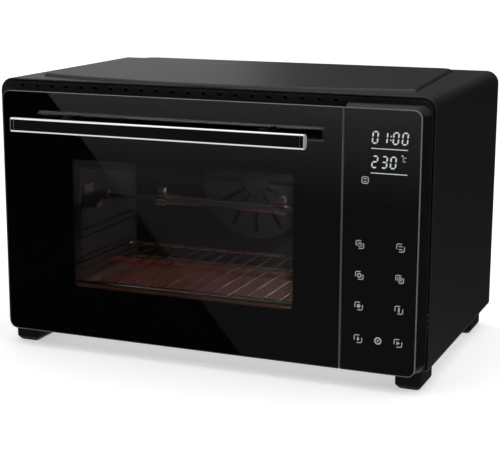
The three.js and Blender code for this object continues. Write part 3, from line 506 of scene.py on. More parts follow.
CASING_PAINT = Finish(
    "casing_paint",
    "casing_paint",
    (0.0042, 0.0042, 0.0044),
    0.3,
    grain_scale=1400.0,
    dust=0.008,
    specular=0.2,
)
FRAME_PLASTIC = Finish("frame_plastic", "black_plastic", (0.007, 0.007, 0.0075), 0.36, grain_scale=1100.0)
GLOSS_PLASTIC = Finish(
    "gloss_plastic", "black_plastic", (0.0028, 0.0028, 0.003), 0.26, relief=0.006 * MM, dust=0.0, specular=0.2
)
FOOT_PLASTIC = Finish("foot_plastic", "dark_plastic", (0.0035, 0.0035, 0.0036), 0.62, specular=0.12)
PRINT_BLACK = Finish("printed_black", "black_glass", (0.0012, 0.0012, 0.0013), 0.75, dust=0.0, specular=0.1)
GROUND_EDGE = Finish(
    "ground_glass_edge", "black_glass", (0.13, 0.133, 0.136), 0.5, dust=0.0, drift=0.4, specular=0.6
)
CHROME = Finish(
    "polished_chrome",
    "chrome",
    (0.82, 0.82, 0.83),
    0.1,
    metallic=1.0,
    drift=0.06,
    relief=0.002 * MM,
    dust=0.0,
    spread=0.05,
)
RACK_CHROME = Finish("wire_chrome", "chrome", (0.62, 0.62, 0.63), 0.22, metallic=1.0, drift=0.1, dust=0.0)
BRUSHED = Finish(
    "brushed_steel",
    "steel",
    (0.66, 0.66, 0.67),
    0.55,
    metallic=0.35,
    texture=Texture.BRUSHED,
    second=(0.6, 0.6, 0.61),
    stretch=(1.0, 0.04, 1.0),
    dust=0.0,
)
STEEL = Finish("plain_steel", "steel", (0.36, 0.36, 0.37), 0.38, metallic=1.0)
ENAMEL = Finish(
    "cavity_enamel",
    "cavity_enamel",
    (0.03, 0.03, 0.032),
    0.38,
    texture=Texture.SPECKLE,
    second=(0.085, 0.085, 0.09),
    dust=0.0,
    wear_and_highlight=0.15,
)
DOOR_ENAMEL = Finish("door_enamel", "casing_paint", (0.012, 0.012, 0.013), 0.34, dust=0.0, wear_and_highlight=0.2)
ALUMINISED = Finish(
    "aluminised_sheet",
    "aluminised_sheet",
    (0.3, 0.3, 0.31),
    0.42,
    metallic=1.0,
    texture=Texture.SPANGLE,
    second=(0.42, 0.42, 0.43),
)
RUBBER = Finish("rubber", "rubber", (0.011, 0.011, 0.011), 0.82, relief=0.04 * MM, wear_and_highlight=0.15)
BOARD = Finish(
    "circuit_board",
    "circuit_board",
    (0.012, 0.07, 0.03),
    0.5,
    texture=Texture.SPANGLE,
    second=(0.016, 0.09, 0.04),
)
CERAMIC = Finish("ceramic", "ceramic", (0.62, 0.6, 0.55), 0.7, wear_and_highlight=0.1, wear_and_highlight_colour=(0.4, 0.38, 0.33))
DISPLAY_DARK = Finish("display_lens", "display", (0.01, 0.011, 0.012), 0.25, dust=0.0)
SCREEN_WHITE = Glow("display_segments", "display", (0.95, 0.98, 1.0), 1.15)
LEGEND_GREY = Glow("touch_legends", "display", (0.8, 0.82, 0.84), 0.8)
FRONT_GLASS = Glass("front_glass", "black_glass", (0.62, 0.63, 0.65))
INNER_GLASS = Glass("inner_glass", "clear_glass", (0.9, 0.92, 0.92))
LAMP_GLASS = Glass("lamp_glass", "clear_glass", (0.97, 0.95, 0.9), haze=0.18)
HOT_ELEMENT = Glow(
    "hot_element",
    "heating_element",
    (1.0, 0.16, 0.04),
    1.0,
    base=(0.09, 0.06, 0.05),
    unevenness=0.5,
    scale=90.0,
)
WARM_ELEMENT = Glow(
    "warm_element",
    "heating_element",
    (1.0, 0.1, 0.025),
    0.06,
    base=(0.07, 0.05, 0.045),
    unevenness=0.5,
    scale=90.0,
)
BULB_GLOW = Glow("bulb_glow", "ceramic", (1.0, 0.78, 0.5), 6.0)


# ---------------------------------------------------------------- meshes


@dataclass(frozen=True)
class Box:
    """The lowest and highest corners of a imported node."""

    low: Vector
    high: Vector

    @classmethod
    def of(cls, node: str) -> "Box":
        """The box of a node at rest."""
        return cls(*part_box(node))

    @property
    def middle(self) -> Vector:
        """The box's centre."""
        return (self.low + self.high) / 2


def rounded(
    x0: float, x1: float, z0: float, z1: float, radii: Sequence[float], steps: int = 8
) -> list[Point2]:
    """A rectangle with rounded corners.

    Args:
        x0, x1, z0, z1: its sides.
        radii: radius at lower left, lower right, upper right and upper left.
        steps: edges in each corner.

    Returns:
        Its points, the same number at each corner, anticlockwise.
    """
    signs = ((-1, -1), (1, -1), (1, 1), (-1, 1))
    points = []
    for i, ((sx, sz), radius) in enumerate(zip(signs, radii)):
        r = max(radius, 1e-5)
        cx = (x1 if sx > 0 else x0) - sx * r
        cz = (z1 if sz > 0 else z0) - sz * r
        start = math.pi + i * math.pi / 2
        for k in range(steps + 1):
            a = start + k * math.pi / 2 / steps
            points.append((cx + r * math.cos(a), cz + r * math.sin(a)))
    return points


def inset_rectangle(box: Box, inset: float, radii: Sequence[float], steps: int = 8) -> list[Point2]:
    """A node's outline seen from the front, a set distance inside its box.

    Args:
        box: the node's box.
        inset: the distance.
        radii: radius at each corner of the box, in the order that rounded takes.
        steps: edges in each corner.

    Returns:
        Its points.
    """
    return rounded(
        box.low.x + inset,
        box.high.x - inset,
        box.low.z + inset,
        box.high.z - inset,
        [max(r - inset, 0.2 * MM) for r in radii],
        steps,
    )


def at_y(outline: Iterable[Point2], y: float) -> list[Vector]:
    """An outline stood up across Y."""
    return [Vector((x, y, z)) for x, z in outline]


def at_z(outline: Iterable[Point2], z: float) -> list[Vector]:
    """An outline laid down across Z."""
    return [Vector((x, y, z)) for x, y in outline]


def turned_rings(axis: Axis, centre: Vector, profile: Sequence[Point2], sides: int) -> list[list[Vector]]:
    """Rings of a turned piece.

    Args:
        axis: what it turns about.
        centre: a point on the axis; its own value along the axis isn't used.
        profile: distance along the axis and radius of each ring.
        sides: points in each ring.

    Returns:
        One list of points for each ring.
    """
    u, v = [i for i in range(3) if i != axis.value]
    rings = []
    for along, radius in profile:
        ring = []
        for k in range(sides):
            a = 2 * math.pi * k / sides
            p = centre.copy()
            p[axis.value] = along
            p[u] += max(radius, 1e-6) * math.cos(a)
            p[v] += max(radius, 1e-6) * math.sin(a)
            ring.append(p)
        rings.append(ring)
    return rings


def stack(rings: Sequence[Sequence[Vector]], loop: bool = False, bands: Sequence[int] = ()) -> Mesh:
    """A closed mesh through rings that have the same number of points.

    Args:
        rings: the rings in order.
        loop: joins the last ring to the first, as a frame, instead of capping both ends.
        bands: material index of the faces after each ring; a capped end takes index 0.

    Returns:
        The mesh, with its faces outward.
    """
    shape = bmesh.new()
    rows = [[shape.verts.new(p) for p in ring] for ring in rings]
    count = len(rows)
    for i in range(count if loop else count - 1):
        a, b = rows[i], rows[(i + 1) % count]
        for k in range(len(a)):
            j = (k + 1) % len(a)
            face = shape.faces.new((a[k], a[j], b[j], b[k]))
            face.material_index = bands[i] if i < len(bands) else 0
    if not loop:
        shape.faces.new(rows[0][::-1])
        shape.faces.new(rows[-1])
    bmesh.ops.remove_doubles(shape, verts=shape.verts, dist=1e-7)
    bmesh.ops.recalc_face_normals(shape, faces=shape.faces)
    mesh = bpy.data.meshes.new("shape")
    shape.to_mesh(mesh)
    shape.free()
    for _ in range(max(bands, default=0) + 1):
        mesh.materials.append(None)
    return mesh


def slab(outline: Callable[[float], Iterable[Point2]], y0: float, y1: float, ease: float = 0.0) -> Mesh:
    """A plate across Y whose front and back edges are eased.

    Args:
        outline: gives the plate's outline at a distance inside its edge.
        y0, y1: front and back faces.
        ease: how far each edge is taken off; the eased edges and the sides have material index 1.

    Returns:
        The plate's mesh.
    """
    if not ease:
        return stack([at_y(outline(0), y0), at_y(outline(0), y1)])
    layers = [(ease, y0), (0, y0 + ease), (0, y1 - ease), (ease, y1)]
    return stack([at_y(outline(inset), y) for inset, y in layers], bands=(1, 1, 1))


def joined(meshes: Iterable[Mesh]) -> Mesh:
    """Several separate shells in one mesh.

    Args:
        meshes: the shells.

    Returns:
        One mesh, where each shell keeps its material indexes.
    """
    shape = bmesh.new()
    for mesh in meshes:
        shape.from_mesh(mesh)
    whole = bpy.data.meshes.new("shape")
    shape.to_mesh(whole)
    shape.free()
    return whole


def placed(name: str, data: bpy.types.ID) -> Object:
    """A new object in the scene.

    Args:
        name: the object's name.
        data: its mesh, camera or light.

    Returns:
        The object.
    """
    thing = bpy.data.objects.new(name, data)
    bpy.context.scene.collection.objects.link(thing)
    return thing


def evaluated(holder: Object, name: str) -> Mesh:
    """The mesh that an object's modifiers give, as plain data.

    Args:
        holder: the object, which is removed afterwards.
        name: name of the new mesh.

    Returns:
        The mesh.
    """
    graph = bpy.context.evaluated_depsgraph_get()
    mesh = bpy.data.meshes.new_from_object(holder.evaluated_get(graph), depsgraph=graph)
    mesh.name = name
    bpy.data.objects.remove(holder)
    return mesh


def with_modifiers(mesh: Mesh, steps: Sequence[tuple[str, dict]]) -> Mesh:
    """Runs modifiers on a mesh and keeps only the result.

    Args:
        mesh: the mesh.
        steps: each modifier's type and its settings.

    Returns:
        The plain mesh after them.
    """
    holder = placed("holder", mesh)
    for kind, settings in steps:
        modifier = holder.modifiers.new(kind, kind)
        for key, value in settings.items():
            setattr(modifier, key, value)
    return evaluated(holder, mesh.name)


def cut_or_fused(mesh: Mesh, other: Mesh, operation: str) -> Mesh:
    """One mesh joined with or cut by another.

    Args:
        mesh: the mesh that stays.
        other: what is added or taken away.
        operation: "UNION" or "DIFFERENCE".

    Returns:
        The result as a plain mesh.
    """
    tool = placed("tool", other)
    settings = {"object": tool, "operation": operation, "solver": "EXACT"}
    result = with_modifiers(mesh, [("BOOLEAN", settings)])
    bpy.data.objects.remove(tool)
    return result


def softened(mesh: Mesh, edge: float, sharp: float = 34.0) -> Mesh:
    """Smooth-shaded mesh whose sharp edges are rounded.

    Args:
        mesh: a closed mesh.
        edge: width of the rounding; 0 leaves the edges sharp.
        sharp: least angle in degrees of an edge that is rounded.

    Returns:
        The finished mesh.
    """
    mesh.shade_smooth()
    mesh.set_sharp_from_angle(angle=math.radians(sharp))
    steps: list[tuple[str, dict]] = []
    if edge:
        bevel = {
            "width": edge,
            "segments": 2,
            "limit_method": "ANGLE",
            "angle_limit": math.radians(sharp),
            "miter_outer": "MITER_ARC",
        }
        steps.append(("BEVEL", bevel))
    steps.append(("WEIGHTED_NORMAL", {"keep_sharp": not edge, "weight": 80}))
    return with_modifiers(mesh, steps)


def keep_piece(
    name: str,
    mesh: Mesh,
    finishes: Sequence[Dressing],
    body: Body,
    replaces: Sequence[str] = (),
) -> Object:
    """Makes a finished piece of the oven.

    Args:
        name: the piece's name.
        mesh: its mesh, in place.
        finishes: its finish for each material index.
        body: the body that it rides on.
        replaces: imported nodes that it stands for.

    Returns:
        The piece.
    """
    mesh.name = name
    places = [0] * len(mesh.polygons)
    mesh.polygons.foreach_get("material_index", places)
    mesh.materials.clear()
    for finish in finishes:
        mesh.materials.append(finish.material())
    mesh.polygons.foreach_set("material_index", places)
    piece = placed(name, mesh)
    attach(piece, body.value)
    if replaces:
        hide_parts(*replaces)
    LOG.info("%s: %d faces on %s", name, len(mesh.polygons), body.value)
    return piece


def refined(node: str, finish: Dressing, edge: float = 0.3 * MM, sharp: float = 34.0) -> Object:
    """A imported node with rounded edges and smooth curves, in its own place.

    Args:
        node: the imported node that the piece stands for.
        finish: its finish.
        edge: width of the rounded edges.
        sharp: least angle in degrees of an edge that is rounded.

    Returns:
        The piece.
    """
    source = bpy.data.objects[node]
    area, volume, _ = measured(source.data)
    for width in (edge, edge / 2, 0.0):
        mesh = softened(merged(source.data), width, sharp)
        now_area, now_volume, folded = measured(mesh)
        kept_area = abs(now_area - area) < MOST_CHANGE * area
        kept_volume = abs(now_volume - volume) < MOST_CHANGE * volume
        if folded < MOST_FOLDED * area and kept_area and kept_volume:
            break
        LOG.info("%s: narrower edges", node)
    return keep_piece(f"{node}_finished", mesh, [finish], Body(source["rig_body"]), [node])


def measured(mesh: Mesh) -> tuple[float, float, float]:
    """A mesh's area and volume, and whether its faces fold over themselves.

    Args:
        mesh: the mesh.

    Returns:
        Its area, the volume inside it and the area that its faces gain where their triangles overlap.
    """
    shape = bmesh.new()
    shape.from_mesh(mesh)
    outlined = sum(face.calc_area() for face in shape.faces)
    bmesh.ops.triangulate(shape, faces=shape.faces)
    area = sum(face.calc_area() for face in shape.faces)
    volume = abs(shape.calc_volume())
    shape.free()
    return area, volume, abs(area - outlined)


def merged(source: Mesh) -> Mesh:
    """A copy of a mesh with its doubled points joined.

    Args:
        source: the mesh, which stays as it is.

    Returns:
        The copy.
    """
    shape = bmesh.new()
    shape.from_mesh(source)
    bmesh.ops.remove_doubles(shape, verts=shape.verts, dist=2e-6)
    mesh = bpy.data.meshes.new("merged")
    shape.to_mesh(mesh)
    shape.free()
    return mesh


# ---------------------------------------------------------------- geometry node recipes


class Recipe(NodeGroup):
    """A Geometry Nodes tree with named inputs that ends in Realize Instances and Set Material."""

    def __init__(self, name: str) -> None:
        """Opens a new tree with a mesh going in and a mesh coming out.

        Args:
            name: the tree's name.
        """
        super().__init__(name, "GeometryNodeTree")
        for way in ("INPUT", "OUTPUT"):
            self.socket("Geometry", way, "NodeSocketGeometry")

    def size(self, label: str, kind: str = "NodeSocketFloat") -> Socket:
        """Adds a named input and gives its socket inside the tree."""
        self.socket(label, "INPUT", kind)
        return self.entry.outputs[label]

    def sizes(self, *labels: str) -> list[Socket]:
        """Adds several numbers as inputs and gives their sockets."""
        return [self.size(label) for label in labels]

    def times(self, a: Number, b: Number) -> Socket:
        """a × b."""
        return self.math("MULTIPLY", a, b)

    def vector(self, x: Number = 0.0, y: Number = 0.0, z: Number = 0.0) -> Socket:
        """Three numbers as a vector."""
        return self.add("ShaderNodeCombineXYZ", {0: x, 1: y, 2: z}).outputs[0]

    def moved(self, shape: Socket, **inputs: object) -> Socket:
        """A shape after a Transform node with the inputs given."""
        return self.add("GeometryNodeTransform", {"Geometry": shape, **inputs}).outputs[0]

    def line(self, start: Socket, end: Socket) -> Socket:
        """A straight curve."""
        return self.add("GeometryNodeCurvePrimitiveLine", {"Start": start, "End": end}).outputs[0]

    def row(self, count: Number, start: Socket, pitch: Number) -> Socket:
        """Points in a row along X."""
        inputs = {"Count": count, "Start Location": start, "Offset": self.vector(x=pitch)}
        return self.add("GeometryNodeMeshLine", inputs, mode="OFFSET").outputs[0]

    def wire(self, path: Socket, radius: Number, sides: int) -> Socket:
        """A round wire along a curve.

        Args:
            path: the curve.
            radius: the wire's radius.
            sides: edges round it.

        Returns:
            The wire's mesh.
        """
        ring = self.add("GeometryNodeCurvePrimitiveCircle", {"Resolution": sides, "Radius": radius})
        inputs = {"Curve": path, "Profile Curve": ring.outputs[0], "Fill Caps": True}
        return self.add("GeometryNodeCurveToMesh", inputs).outputs[0]

    def copies(self, points: Socket, shape: Socket, **inputs) -> Socket:
        """A copy of a shape on each point."""
        inputs = {"Points": points, "Instance": shape, **inputs}
        return self.add("GeometryNodeInstanceOnPoints", inputs).outputs[0]

    def joined(self, sockets: Sequence[Socket]) -> Socket:
        """Several shapes as one.

        Args:
            sockets: the shapes.

        Returns:
            The socket that gives them all.
        """
        node = self.tree.nodes.new("GeometryNodeJoinGeometry")
        for socket in sockets:
            self.tree.links.new(socket, node.inputs[0])
        return node.outputs[0]

    def close(self, shape: Socket) -> Tree:
        """Ends the tree: instances made real, doubled points joined and the finish given.

        Args:
            shape: what the tree has built.

        Returns:
            The finished tree.
        """
        finish = self.size("Finish", "NodeSocketMaterial")
        real = self.add("GeometryNodeRealizeInstances", {0: shape})
        merged = self.add("GeometryNodeMergeByDistance", {0: real.outputs[0], "Distance": 1e-6})
        dressed = self.add("GeometryNodeSetMaterial", {"Geometry": merged.outputs[0], "Material": finish})
        self.tree.links.new(dressed.outputs[0], self.exit.inputs[0])
        return self.tree


def cooked(tree: Tree, values: dict, finish: Dressing, mesh: Mesh | None = None) -> Mesh:
    """Runs a recipe and keeps only its mesh.

    Args:
        tree: the recipe's tree.
        values: its inputs by name.
        finish: what its result is made of.
        mesh: the mesh that goes in, if it needs one.

    Returns:
        The plain mesh.
    """
    holder = placed(tree.name, mesh or bpy.data.meshes.new("start"))
    modifier = holder.modifiers.new(tree.name, "NODES")
    modifier.node_group = tree
    sockets = {item.name: item.identifier for item in tree.interface.items_tree if item.in_out == "INPUT"}
    for label, value in {**values, "Finish": finish.material()}.items():
        modifier[sockets[label]] = value
    return evaluated(holder, tree.name)


def points_mesh(points: Iterable[Vector]) -> Mesh:
    """A mesh of loose points, for copies to stand on.

    Args:
        points: the points.

    Returns:
        The mesh.
    """
    mesh = bpy.data.meshes.new("points")
    mesh.from_pydata([tuple(p) for p in points], [], [])
    return mesh


def eyelet_recipe() -> Tree:
    """Rolled rims round a row of holes that face the front.

    Returns:
        The recipe's tree.
    """
    recipe = Recipe("eyelet_row")
    count = recipe.size("Count", "NodeSocketInt")
    pitch, radius, lip = recipe.sizes("Pitch", "Radius", "Lip")
    start = recipe.size("Start", "NodeSocketVector")
    circle = recipe.add("GeometryNodeCurvePrimitiveCircle", {"Resolution": 28, "Radius": radius})
    rim = recipe.wire(circle.outputs[0], lip, 8)
    faced = recipe.moved(rim, Rotation=UPRIGHT)
    return recipe.close(recipe.copies(recipe.row(count, start, pitch), faced))


def dot_border_recipe() -> Tree:
    """A printed grid of dots between two rectangles, smaller towards the inner one.

    Returns:
        The recipe's tree.
    """
    recipe = Recipe("dot_border")
    width, height = recipe.sizes("Width", "Height")
    columns, rows = recipe.size("Columns", "NodeSocketInt"), recipe.size("Rows", "NodeSocketInt")
    radius, band, depth = recipe.sizes("Radius", "Band", "Depth")
    centre = recipe.size("Centre", "NodeSocketVector")
    sides = {"Size X": width, "Size Y": height, "Vertices X": columns, "Vertices Y": rows}
    grid = recipe.add("GeometryNodeMeshGrid", sides).outputs[0]
    position = recipe.add("GeometryNodeInputPosition").outputs[0]
    place = recipe.add("ShaderNodeSeparateXYZ", {0: position}).outputs
    side = recipe.math("SUBTRACT", recipe.times(width, 0.5), recipe.math("ABSOLUTE", place[0]))
    end = recipe.math("SUBTRACT", recipe.times(height, 0.5), recipe.math("ABSOLUTE", place[1]))
    depth_in = recipe.math("MINIMUM", side, end)
    inner = {"Geometry": grid, "Selection": recipe.math("GREATER_THAN", depth_in, band)}
    kept = recipe.add("GeometryNodeDeleteGeometry", inner, domain="POINT").outputs[0]
    dot = recipe.add("GeometryNodeMeshCylinder", {"Vertices": 8, "Radius": radius, "Depth": depth}).outputs[0]
    shrink = {"Value": depth_in, "From Max": band, "To Min": 1.0, "To Max": 0.62}
    share = recipe.add("ShaderNodeMapRange", shrink).outputs[0]
    dots = recipe.copies(kept, dot, Scale=recipe.vector(share, share, 1.0))
    real = recipe.add("GeometryNodeRealizeInstances", {0: dots}).outputs[0]
    return recipe.close(recipe.moved(real, Translation=centre, Rotation=UPRIGHT))


def wire_rack_recipe() -> Tree:
    """An oven rack: a bent outer wire, wires from front to back and a brace below them.

    Returns:
        The recipe's tree.
    """
    recipe = Recipe("wire_rack")
    width, depth = recipe.sizes("Width", "Depth")
    bays = recipe.size("Bays", "NodeSocketInt")
    outer, thin, corner, lift = recipe.sizes("Outer Radius", "Wire Radius", "Corner", "Lift")
    centre = recipe.size("Centre", "NodeSocketVector")
    frame = recipe.add("GeometryNodeCurvePrimitiveQuadrilateral", {"Width": width, "Height": depth})
    bend = {"Curve": frame.outputs[0], "Radius": corner, "Count": 8, "Limit Radius": True}
    bent = recipe.add("GeometryNodeFilletCurve", bend, mode="POLY").outputs[0]
    back = recipe.times(depth, 0.5)
    wire = recipe.line(recipe.vector(y=recipe.times(back, -1.0), z=lift), recipe.vector(y=back, z=lift))
    pitch = recipe.math("DIVIDE", width, bays)
    first = recipe.math("ADD", recipe.times(width, -0.5), pitch)
    row = recipe.row(recipe.math("ADD", bays, -1.0), recipe.vector(x=first), pitch)
    wires = recipe.copies(row, recipe.wire(wire, thin, 10))
    brace_y, low = recipe.times(depth, 0.16), recipe.times(lift, -3.3)
    end = recipe.times(width, 0.5)
    start = recipe.vector(recipe.times(end, -1.0), brace_y, low)
    brace = recipe.line(start, recipe.vector(end, brace_y, low))
    parts = recipe.joined([recipe.wire(bent, outer, 14), wires, recipe.wire(brace, thin, 10)])
    real = recipe.add("GeometryNodeRealizeInstances", {0: parts}).outputs[0]
    return recipe.close(recipe.moved(real, Translation=centre))


def screw_recipe() -> Tree:
    """Cross-head screws on points, facing the back, each turned its own way.

    Returns:
        The recipe's tree.
    """
    recipe = Recipe("screws")
    radius, height = recipe.sizes("Radius", "Height")
    seed = recipe.size("Seed", "NodeSocketInt")
    cone = {
        "Vertices": 20,
        "Radius Top": recipe.times(radius, 0.72),
        "Radius Bottom": radius,
        "Depth": height,
        "Side Segments": 1,
    }
    head = recipe.add("GeometryNodeMeshCone", cone).outputs["Mesh"]
    slot = recipe.vector(recipe.times(radius, 1.1), recipe.times(radius, 0.26), recipe.times(height, 1.2))
    across = recipe.add("GeometryNodeMeshCube", {"Size": slot}).outputs[0]
    cross = recipe.joined([across, recipe.moved(across, Rotation=(0.0, 0.0, math.pi / 2))])
    raised = recipe.moved(cross, Translation=recipe.vector(z=height))
    cut = recipe.add("GeometryNodeMeshBoolean", {0: head, 1: raised}, operation="DIFFERENCE").outputs[0]
    spin = recipe.add("FunctionNodeRandomValue", {"Seed": seed, 3: math.pi}, data_type="FLOAT").outputs[1]
    turns = [recipe.vector(-math.pi / 2, 0.0, 0.0), recipe.vector(z=spin)]
    tilt, about = [recipe.add("FunctionNodeEulerToRotation", {0: turn}).outputs[0] for turn in turns]
    both = recipe.add("FunctionNodeRotateRotation", {0: tilt, 1: about}, rotation_space="LOCAL").outputs[0]
    return recipe.close(recipe.copies(recipe.entry.outputs["Geometry"], cut, Rotation=both))


# ---------------------------------------------------------------- sub-assemblies


@dataclass
class Casing:
    """The painted wrapper with its rolled front hem and pressed lid, and what closes it behind and below."""

    sheet: float = 0.8 * MM
    corner: float = 15 * MM
    hem: float = 2.8 * MM
    hem_depth: float = 5 * MM
    flange: float = 7 * MM
    bottom_bend: float = 3.2 * MM
    lid_rise: float = 3 * MM
    lid_slope: float = 3 * MM
    lid_front: float = 2 * MM
    lid_rear: float = 14.5 * MM
    lid_side: float = 33 * MM
    lid_taper: float = 18 * MM
    lid_bow: float = 33 * MM
    lid_corner: float = 14 * MM
    screw_edge: float = 9 * MM
    screw_low: float = 14 * MM
    screw_spread: float = 0.12
    gland_reach: float = 20 * MM
    box: Box = field(init=False)

    def __post_init__(self) -> None:
        """Takes the wrapper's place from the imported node."""
        self.box = Box.of("casing_wrapper")

    @property
    def top(self) -> float:
        """Height of the flat top round the lid."""
        return self.box.high.z - self.lid_rise

    def section(self) -> list[Point2]:
        """The wrapper's bent outline across Y.

        Returns:
            Its points from one bottom flange to the other.
        """
        x0, x1, z0 = self.box.low.x, self.box.high.x, self.box.low.z
        bend, corner = self.bottom_bend, self.corner
        steps = 12
        turn = steps + 1
        closed = rounded(x0, x1, z0, self.top, (bend, bend, corner, corner), steps)
        left = [(x0 + self.sheet + self.flange, z0)] + closed[:turn][::-1]
        over = closed[3 * turn :][::-1] + closed[2 * turn : 3 * turn][::-1]
        right = closed[turn : 2 * turn][::-1] + [(x1 - self.sheet - self.flange, z0)]
        return left + over + right

    def skin(self) -> Mesh:
        """The bent sheet, with its front edge rolled into a hem.

        Returns:
            The sheet's mesh.
        """
        path = [Vector((x, 0.0, z)) for x, z in self.section()]
        front, back = self.box.low.y, self.box.high.y
        roll = self.hem / 2
        profile = [(0.0, back), (0.0, front + roll)]
        for k in range(1, 10):
            a = math.pi * k / 10
            profile.append((roll - roll * math.cos(a), front + roll - roll * math.sin(a)))
        profile += [(self.hem, front + roll), (self.hem, front + self.hem_depth)]
        profile += [(self.sheet, front + self.hem_depth), (self.sheet, back)]
        rings = []
        for i, point in enumerate(path):
            before = path[max(i - 1, 0)]
            after = path[min(i + 1, len(path) - 1)]
            along = (after - before).normalized()
            inward = Vector((along.z, 0.0, -along.x))
            rings.append([point + inward * n + Vector((0.0, y, 0.0)) for n, y in profile])
        return stack(rings)

    def lid_outline(self, inset: float) -> list[Point2]:
        """The lid's outline: bowed in front and narrower behind.

        Args:
            inset: distance inside the lid's edge.

        Returns:
            Its points, as X and Y.
        """
        front = self.box.low.y + self.lid_front + inset
        back = self.box.high.y - self.lid_rear - inset
        wide = (self.box.high.x - self.box.low.x) / 2 - self.lid_side - inset
        narrow = wide - self.lid_taper
        side, corner = front + self.lid_bow, self.lid_corner
        left, right = (-wide + corner, side - corner / 4), (wide - corner, side - corner / 4)
        stretches = [
            self.curve(left, (0.0, 2 * front - side), right, 48),
            self.curve(right, (wide, side), (wide, side + corner), 8),
            self.curve((narrow, back - corner), (narrow, back), (narrow - corner, back), 8),
            self.curve((-narrow + corner, back), (-narrow, back), (-narrow, back - corner), 8),
            self.curve((-wide, side + corner), (-wide, side), left, 8),
        ]
        return [p for stretch in stretches for p in stretch][:-1]

    @staticmethod
    def curve(a: Point2, b: Point2, c: Point2, steps: int) -> list[Point2]:
        """A quadratic curve.

        Args:
            a: its start.
            b: the point that it leans to.
            c: its end.
            steps: its edges.

        Returns:
            Its points.
        """
        points = []
        for k in range(steps + 1):
            t = k / steps
            u = 1 - t
            points.append(tuple(u * u * p + 2 * u * t * q + t * t * r for p, q, r in zip(a, b, c)))
        return points

    def lid(self) -> Mesh:
        """The raised lid: a rounded foot, a slope and a rounded edge below its flat top.

        Returns:
            The lid as a solid.
        """
        shares = [(0.0, -0.13), (0.0, 0.0), (0.12, 0.2), (0.5, 0.58), (0.82, 0.86), (1.1, 0.98), (1.5, 1.0)]
        rings = [
            at_z(self.lid_outline(self.lid_slope * inset), self.top + self.lid_rise * rise)
            for inset, rise in shares
        ]
        return stack(rings)

    def build(self) -> None:
        """Builds the wrapper, the bottom plate, the rear cover and its screws."""
        whole = cut_or_fused(self.skin(), self.lid(), "UNION")
        shell = softened(whole, 0.0, sharp=26.0)
        keep_piece("casing_shell", shell, [CASING_PAINT], Body.OVEN, ["casing_wrapper"])
        refined("bottom_plate", ALUMINISED, 0.2 * MM)
        refined("rear_cover", CASING_PAINT, 0.4 * MM, 25.0)
        refined("heat_shield", ALUMINISED, 0.2 * MM)
        self.screws()

    def screws(self) -> None:
        """Screws round the rear cover's edge and on both sides of the cord's gland."""
        cover, gland = Box.of("rear_cover"), Box.of("cord_gland").middle
        face, edge = self.box.high.y - self.sheet, self.screw_edge
        sides = (cover.low.x + edge, cover.high.x - edge)
        heights = (cover.low.z + self.screw_low, cover.middle.z, cover.high.z - self.screw_low)
        places = [Vector((x, face, z)) for x in sides for z in heights]
        spread = (-self.screw_spread, 0.0, self.screw_spread)
        places += [Vector((x, face, z)) for z in (cover.high.z - edge, cover.low.z + edge) for x in spread]
        places += [Vector((gland.x + side * self.gland_reach, face, gland.z)) for side in (-1, 1)]
        sizes = {"Radius": 3.6 * MM, "Height": 2.2 * MM, "Seed": 4}
        mesh = cooked(screw_recipe(), sizes, STEEL, points_mesh(places))
        keep_piece("rear_screws", softened(mesh, 0.0), [STEEL], Body.OVEN)


@dataclass
class FrontFrame:
    """The plastic frame behind the glass, with a row of vent holes above the door."""

    vent_radius: float = 2.5 * MM
    vent_pitch: float = 19.05 * MM
    first_vent: float = 20 * MM
    last_vent: float = 12 * MM
    below_top: float = 7.7 * MM
    lip: float = 0.42 * MM

    def build(self) -> None:
        """Builds the frame and the rims of its vents."""
        refined("front_frame", FRAME_PLASTIC, 0.35 * MM)
        door = Box.of("door_outer_glass")
        frame = Box.of("front_frame")
        first = door.low.x + self.first_vent
        run = door.high.x - self.last_vent - first
        sizes = {
            "Count": int(run / self.vent_pitch) + 1,
            "Pitch": self.vent_pitch,
            "Radius": self.vent_radius + 0.1 * MM,
            "Lip": self.lip,
            "Start": (first, frame.low.y + 0.1 * MM, Casing().top - self.below_top),
        }
        rims = cooked(eyelet_recipe(), sizes, FRAME_PLASTIC)
        keep_piece("vent_rims", softened(rims, 0.0, sharp=60.0), [FRAME_PLASTIC], Body.OVEN)


